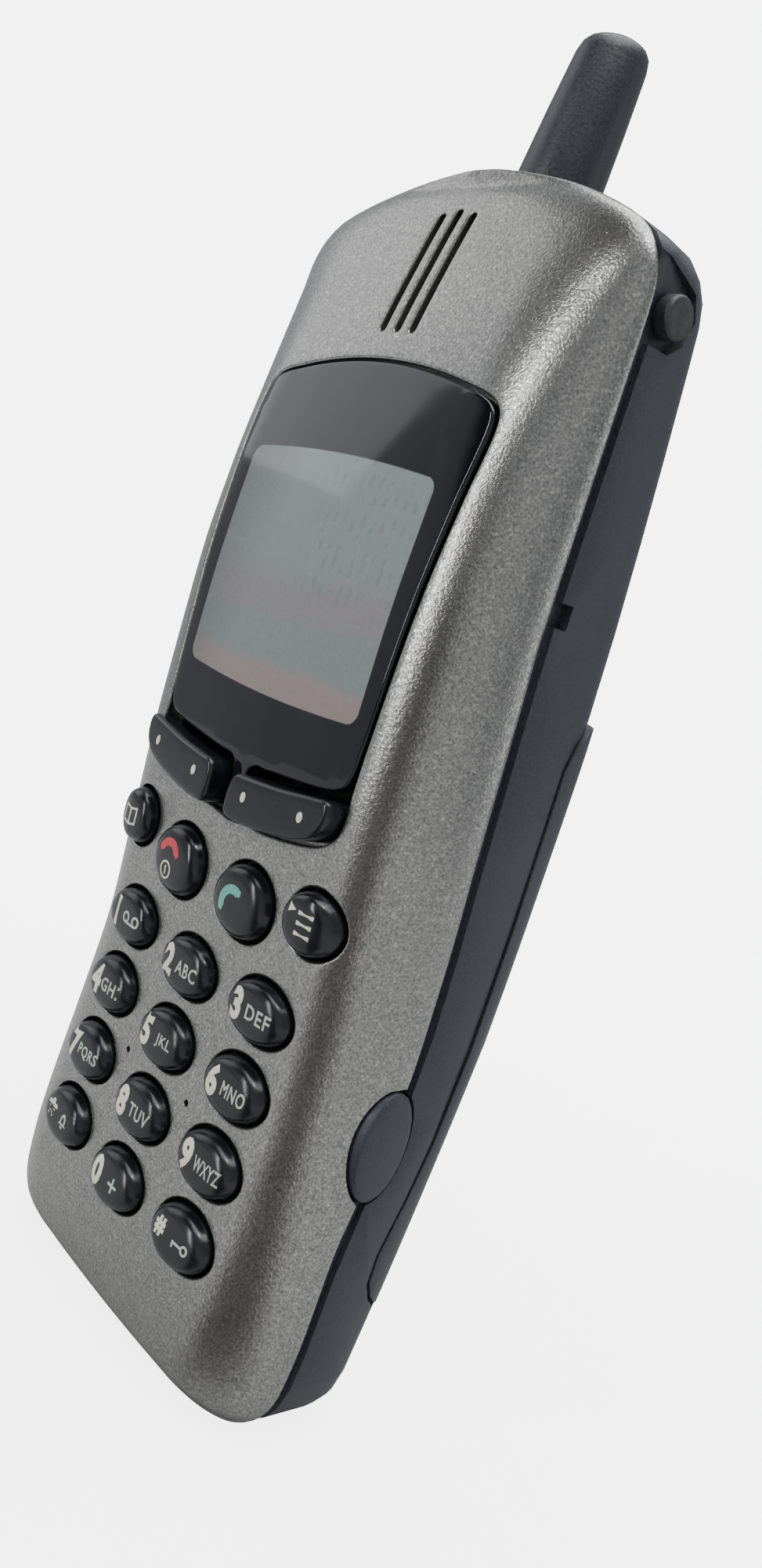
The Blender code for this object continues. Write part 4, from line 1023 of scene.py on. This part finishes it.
def within(q, loops):
    """Whether a point is inside an odd number of the loops."""
    return sum(inside(q, loop) for loop in loops) % 2 == 1


def glyphs(text, cx, cz, height, stretch, weight, gap=1.0):
    """Outlines of plain lettering centred on a point, as groups of loops."""
    font = bpy.data.curves.new("lettering", "FONT")
    font.body = text
    font.size = 1.0
    font.offset = weight
    font.space_character = gap
    font.resolution_u = 3
    holder = bpy.data.objects.new("lettering", font)
    scene.collection.objects.link(holder)
    bpy.context.view_layer.update()
    mesh = holder.to_mesh()
    bm = bmesh.new()
    bm.from_mesh(mesh)
    holder.to_mesh_clear()
    bpy.data.objects.remove(holder, do_unlink=True)
    bpy.data.curves.remove(font)
    bmesh.ops.remove_doubles(bm, verts=bm.verts, dist=0.0005)
    pairs = {}
    for e in bm.edges:
        if len(e.link_faces) == 1:
            a, b = e.verts
            pairs.setdefault(a.index, []).append(b.index)
            pairs.setdefault(b.index, []).append(a.index)
    bm.verts.ensure_lookup_table()
    place = {v.index: (v.co.x, v.co.y) for v in bm.verts}
    loops, seen = [], set()
    for start in pairs:
        if start in seen:
            continue
        loop, last, now = [], None, start
        while now not in seen:
            seen.add(now)
            loop.append(place[now])
            follow = [k for k in pairs[now] if k != last and k not in seen]
            last = now
            if not follow:
                break
            now = follow[0]
        if len(loop) > 2:
            loops.append(loop)
    bm.free()
    x0, x1, z0, z1 = bounds_of([p for loop in loops for p in loop])
    k = height / (z1 - z0)
    mx, mz = (x0 + x1) / 2, (z0 + z1) / 2
    return [[[(cx + (x - mx) * k * stretch, cz + (z - mz) * k) for x, z in loop] for loop in loops]]


def stroke(points, width):
    """Outline of a line of one width with round ends."""
    left, right = [], []
    n = len(points)
    for i, p in enumerate(points):
        a = points[max(i - 1, 0)]
        b = points[min(i + 1, n - 1)]
        tx, tz = b[0] - a[0], b[1] - a[1]
        length = math.hypot(tx, tz)
        ox, oz = -tz / length * width / 2, tx / length * width / 2
        left.append((p[0] + ox, p[1] + oz))
        right.append((p[0] - ox, p[1] - oz))
    return [left + right[::-1]]


def arc(r, a0, a1, n):
    """Arc about a point 1.1 below the origin, between two angles."""
    turns = [math.radians(a0 + (a1 - a0) * i / n) for i in range(n + 1)]
    return [(r * math.cos(a), -1.1 + r * math.sin(a)) for a in turns]


def ring_outline(cx, cz, r, width):
    """Outer and inner circle of a printed ring."""
    return [oval(cx, cz, r, r, 28), oval(cx, cz, r - width, r - width, 28)]


def turned(points, cx, cz, degrees):
    """Points turned about the origin, then moved."""
    c, s = math.cos(math.radians(degrees)), math.sin(math.radians(degrees))
    return [(cx + x * c - z * s, cz + x * s + z * c) for x, z in points]


LETTERS = {"key_2": "ABC", "key_3": "DEF", "key_4": "GHI", "key_5": "JKL", "key_6": "MNO",
           "key_7": "PQRS", "key_8": "TUV", "key_9": "WXYZ"}
DIGITS = {"key_%d" % d: str(d) for d in range(10)}
DIGITS.update({"key_star": "*", "key_hash": "#"})


def handset(px, pz, tilt, grow):
    """Telephone handset: an arch between two cups."""
    shape = arc(1.75, 22.0, 158.0, 18) + [(-1.72, -0.62), (-1.42, -0.98), (-0.86, -0.72)]
    shape += arc(0.95, 146.0, 34.0, 12) + [(0.86, -0.72), (1.42, -0.98), (1.72, -0.62)]
    return [[turned([(x * grow, (z + 0.2) * grow) for x, z in shape], px, pz, tilt)]]


def on(key):
    """A key's middle and its surface."""
    return key[1], key[2], lambda x, z: key_surface(key, x, z)


def legends():
    """Digits, letters and signs printed on the keys."""
    for key in KEYS:
        name = key[0]
        cx, cz, surface = on(key)
        if name in DIGITS:
            tall, up = (1.9, 0.35) if name in ("key_star", "key_hash") else (3.2, 0.1)
            wide = {"key_1": 0.9, "key_star": 1.1, "key_hash": 0.95}.get(name, 0.86)
            aside = 1.55 if cx < -6.0 else 1.85
            printed(name + "_digit", glyphs(DIGITS[name], cx - aside, cz + up, tall, wide, 0.05),
                    surface, "print_cream", name)
        if name in LETTERS:
            word = LETTERS[name]
            wide = 3.3 if len(word) == 3 else 3.7
            [loops] = glyphs(word, cx + 1.35, cz + 0.05, 1.42, 1.0, 0.012, 1.12)
            x0, x1, _, _ = bounds_of([p for loop in loops for p in loop])
            fit = min(wide / (x1 - x0), 1.0)
            shapes = [[[(cx + 1.35 + (x - cx - 1.35) * fit, z) for x, z in loop] for loop in loops]]
            printed(name + "_letters", shapes, surface, "print_green", name)
    by_name = {key[0]: key for key in KEYS}
    # voicemail loops, plus, bell and padlock key
    cx, cz, face = on(by_name["key_1"])
    printed("key_1_loops", [ring_outline(cx + 0.55, cz + 0.1, 0.62, 0.24),
                            ring_outline(cx + 2.35, cz + 0.1, 0.62, 0.24),
                            stroke([(cx + 0.55, cz - 0.42), (cx + 2.35, cz - 0.42)], 0.24)],
            face, "print_green", "key_1")
    cx, cz, face = on(by_name["key_0"])
    plus = [(-0.13, -0.75), (0.13, -0.75), (0.13, -0.13), (0.75, -0.13), (0.75, 0.13), (0.13, 0.13),
            (0.13, 0.75), (-0.13, 0.75), (-0.13, 0.13), (-0.75, 0.13), (-0.75, -0.13), (-0.13, -0.13)]
    printed("key_0_plus", [[[(cx + 1.3 + x, cz + z) for x, z in plus]]], face, "print_green", "key_0")
    cx, cz, face = on(by_name["key_star"])
    bell = [(-0.75, -0.5), (-0.5, -0.25), (-0.45, 0.3), (-0.2, 0.65), (0.0, 0.72), (0.2, 0.65), (0.45, 0.3),
            (0.5, -0.25), (0.75, -0.5)]
    small = [(x * 0.55, z * 0.6 - 0.02) for x, z in bell]
    printed("key_star_bell", [[[(cx + 1.3 + x, cz + 0.1 + z) for x, z in bell],
                               [(cx + 1.3 + x, cz + 0.1 + z) for x, z in small]],
                              stroke([(cx + 1.12, cz - 0.62), (cx + 1.48, cz - 0.62)], 0.22)],
            face, "print_green", "key_star")
    cx, cz, face = on(by_name["key_hash"])
    printed("key_hash_lock", [ring_outline(cx + 2.2, cz + 0.1, 0.5, 0.22),
                              stroke([(cx + 0.35, cz + 0.1), (cx + 1.75, cz + 0.1)], 0.24),
                              stroke([(cx + 0.5, cz + 0.1), (cx + 0.5, cz - 0.42)], 0.24)],
            face, "print_green", "key_hash")
    # hang-up and answer handsets, power ring, list and book
    cx, cz, face = on(by_name["key_end"])
    printed("key_end_handset", handset(cx - 0.35, cz + 1.15, 0.0, 1.05), face, "print_red", "key_end")
    printed("key_end_power", [ring_outline(cx - 0.35, cz - 1.25, 0.95, 0.2),
                              stroke([(cx - 0.35, cz - 1.7), (cx - 0.35, cz - 0.8)], 0.2)],
            face, "print_cream", "key_end")
    cx, cz, face = on(by_name["key_call"])
    printed("key_call_handset", handset(cx - 0.75, cz + 0.3, 42.0, 1.12), face, "print_teal", "key_call")
    cx, cz, face = on(by_name["key_menu"])
    bars = [[[(cx - 0.35, cz + z - 0.19), (cx + 1.45, cz + z - 0.19), (cx + 1.45, cz + z + 0.19),
              (cx - 0.35, cz + z + 0.19)]] for z in (-0.95, 0.0, 0.95)]
    bars.append([[(cx - 1.75, cz + 0.55), (cx - 1.75, cz + 1.45), (cx - 0.75, cz + 1.0)]])
    printed("key_menu_lines", bars, face, "print_cream", "key_menu")
    cx, cz, face = on(by_name["key_phonebook"])
    book = [(-1.25, -0.95), (0.0, -1.2), (1.25, -0.95), (1.25, 0.95), (0.0, 0.7), (-1.25, 0.95)]
    left_page = [(-1.05, -0.76), (-0.12, -0.95), (-0.12, 0.5), (-1.05, 0.7)]
    right_page = [(0.12, -0.95), (1.05, -0.76), (1.05, 0.7), (0.12, 0.5)]
    printed("key_phonebook_book", [[[(cx + 0.1 + x, cz + z) for x, z in loop]
                                    for loop in (book, left_page, right_page)]],
            face, "print_cream", "key_phonebook")
    # two pips on each bar key
    for side, name in ((-1, "softkey_left"), (1, "softkey_right")):
        pips = [[oval(side * 12.31, 57.4, 0.36, 0.5, 20)], [oval(side * 4.37, 56.6, 0.36, 0.5, 20)]]
        printed(name + "_pips", pips, lambda x, z: bar_depth(x), "print_cream", name)


front_shell()
seam_baffle(-1, "seam_baffle_left")
seam_baffle(1, "seam_baffle_right")
for key in KEYS:
    key_piece(key)
legends()
softkey_piece(-1, "softkey_left")
softkey_piece(1, "softkey_right")
window_piece()
# the outer CAD parts that stay visible get soft edges
for node_name in (*WORN_BY["antenna"], *WORN_BY["dark"], *WORN_BY["plug"]):
    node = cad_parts[node_name]
    node.data.shade_smooth()
    weld = node.modifiers.new("weld", "WELD")
    weld.merge_threshold = 0.000003
    bevel = node.modifiers.new("bevel", "BEVEL")
    bevel.width = 0.00018
    bevel.segments = 2
    bevel.limit_method = "ANGLE"
    bevel.angle_limit = math.radians(38.0)
    bevel.harden_normals = True
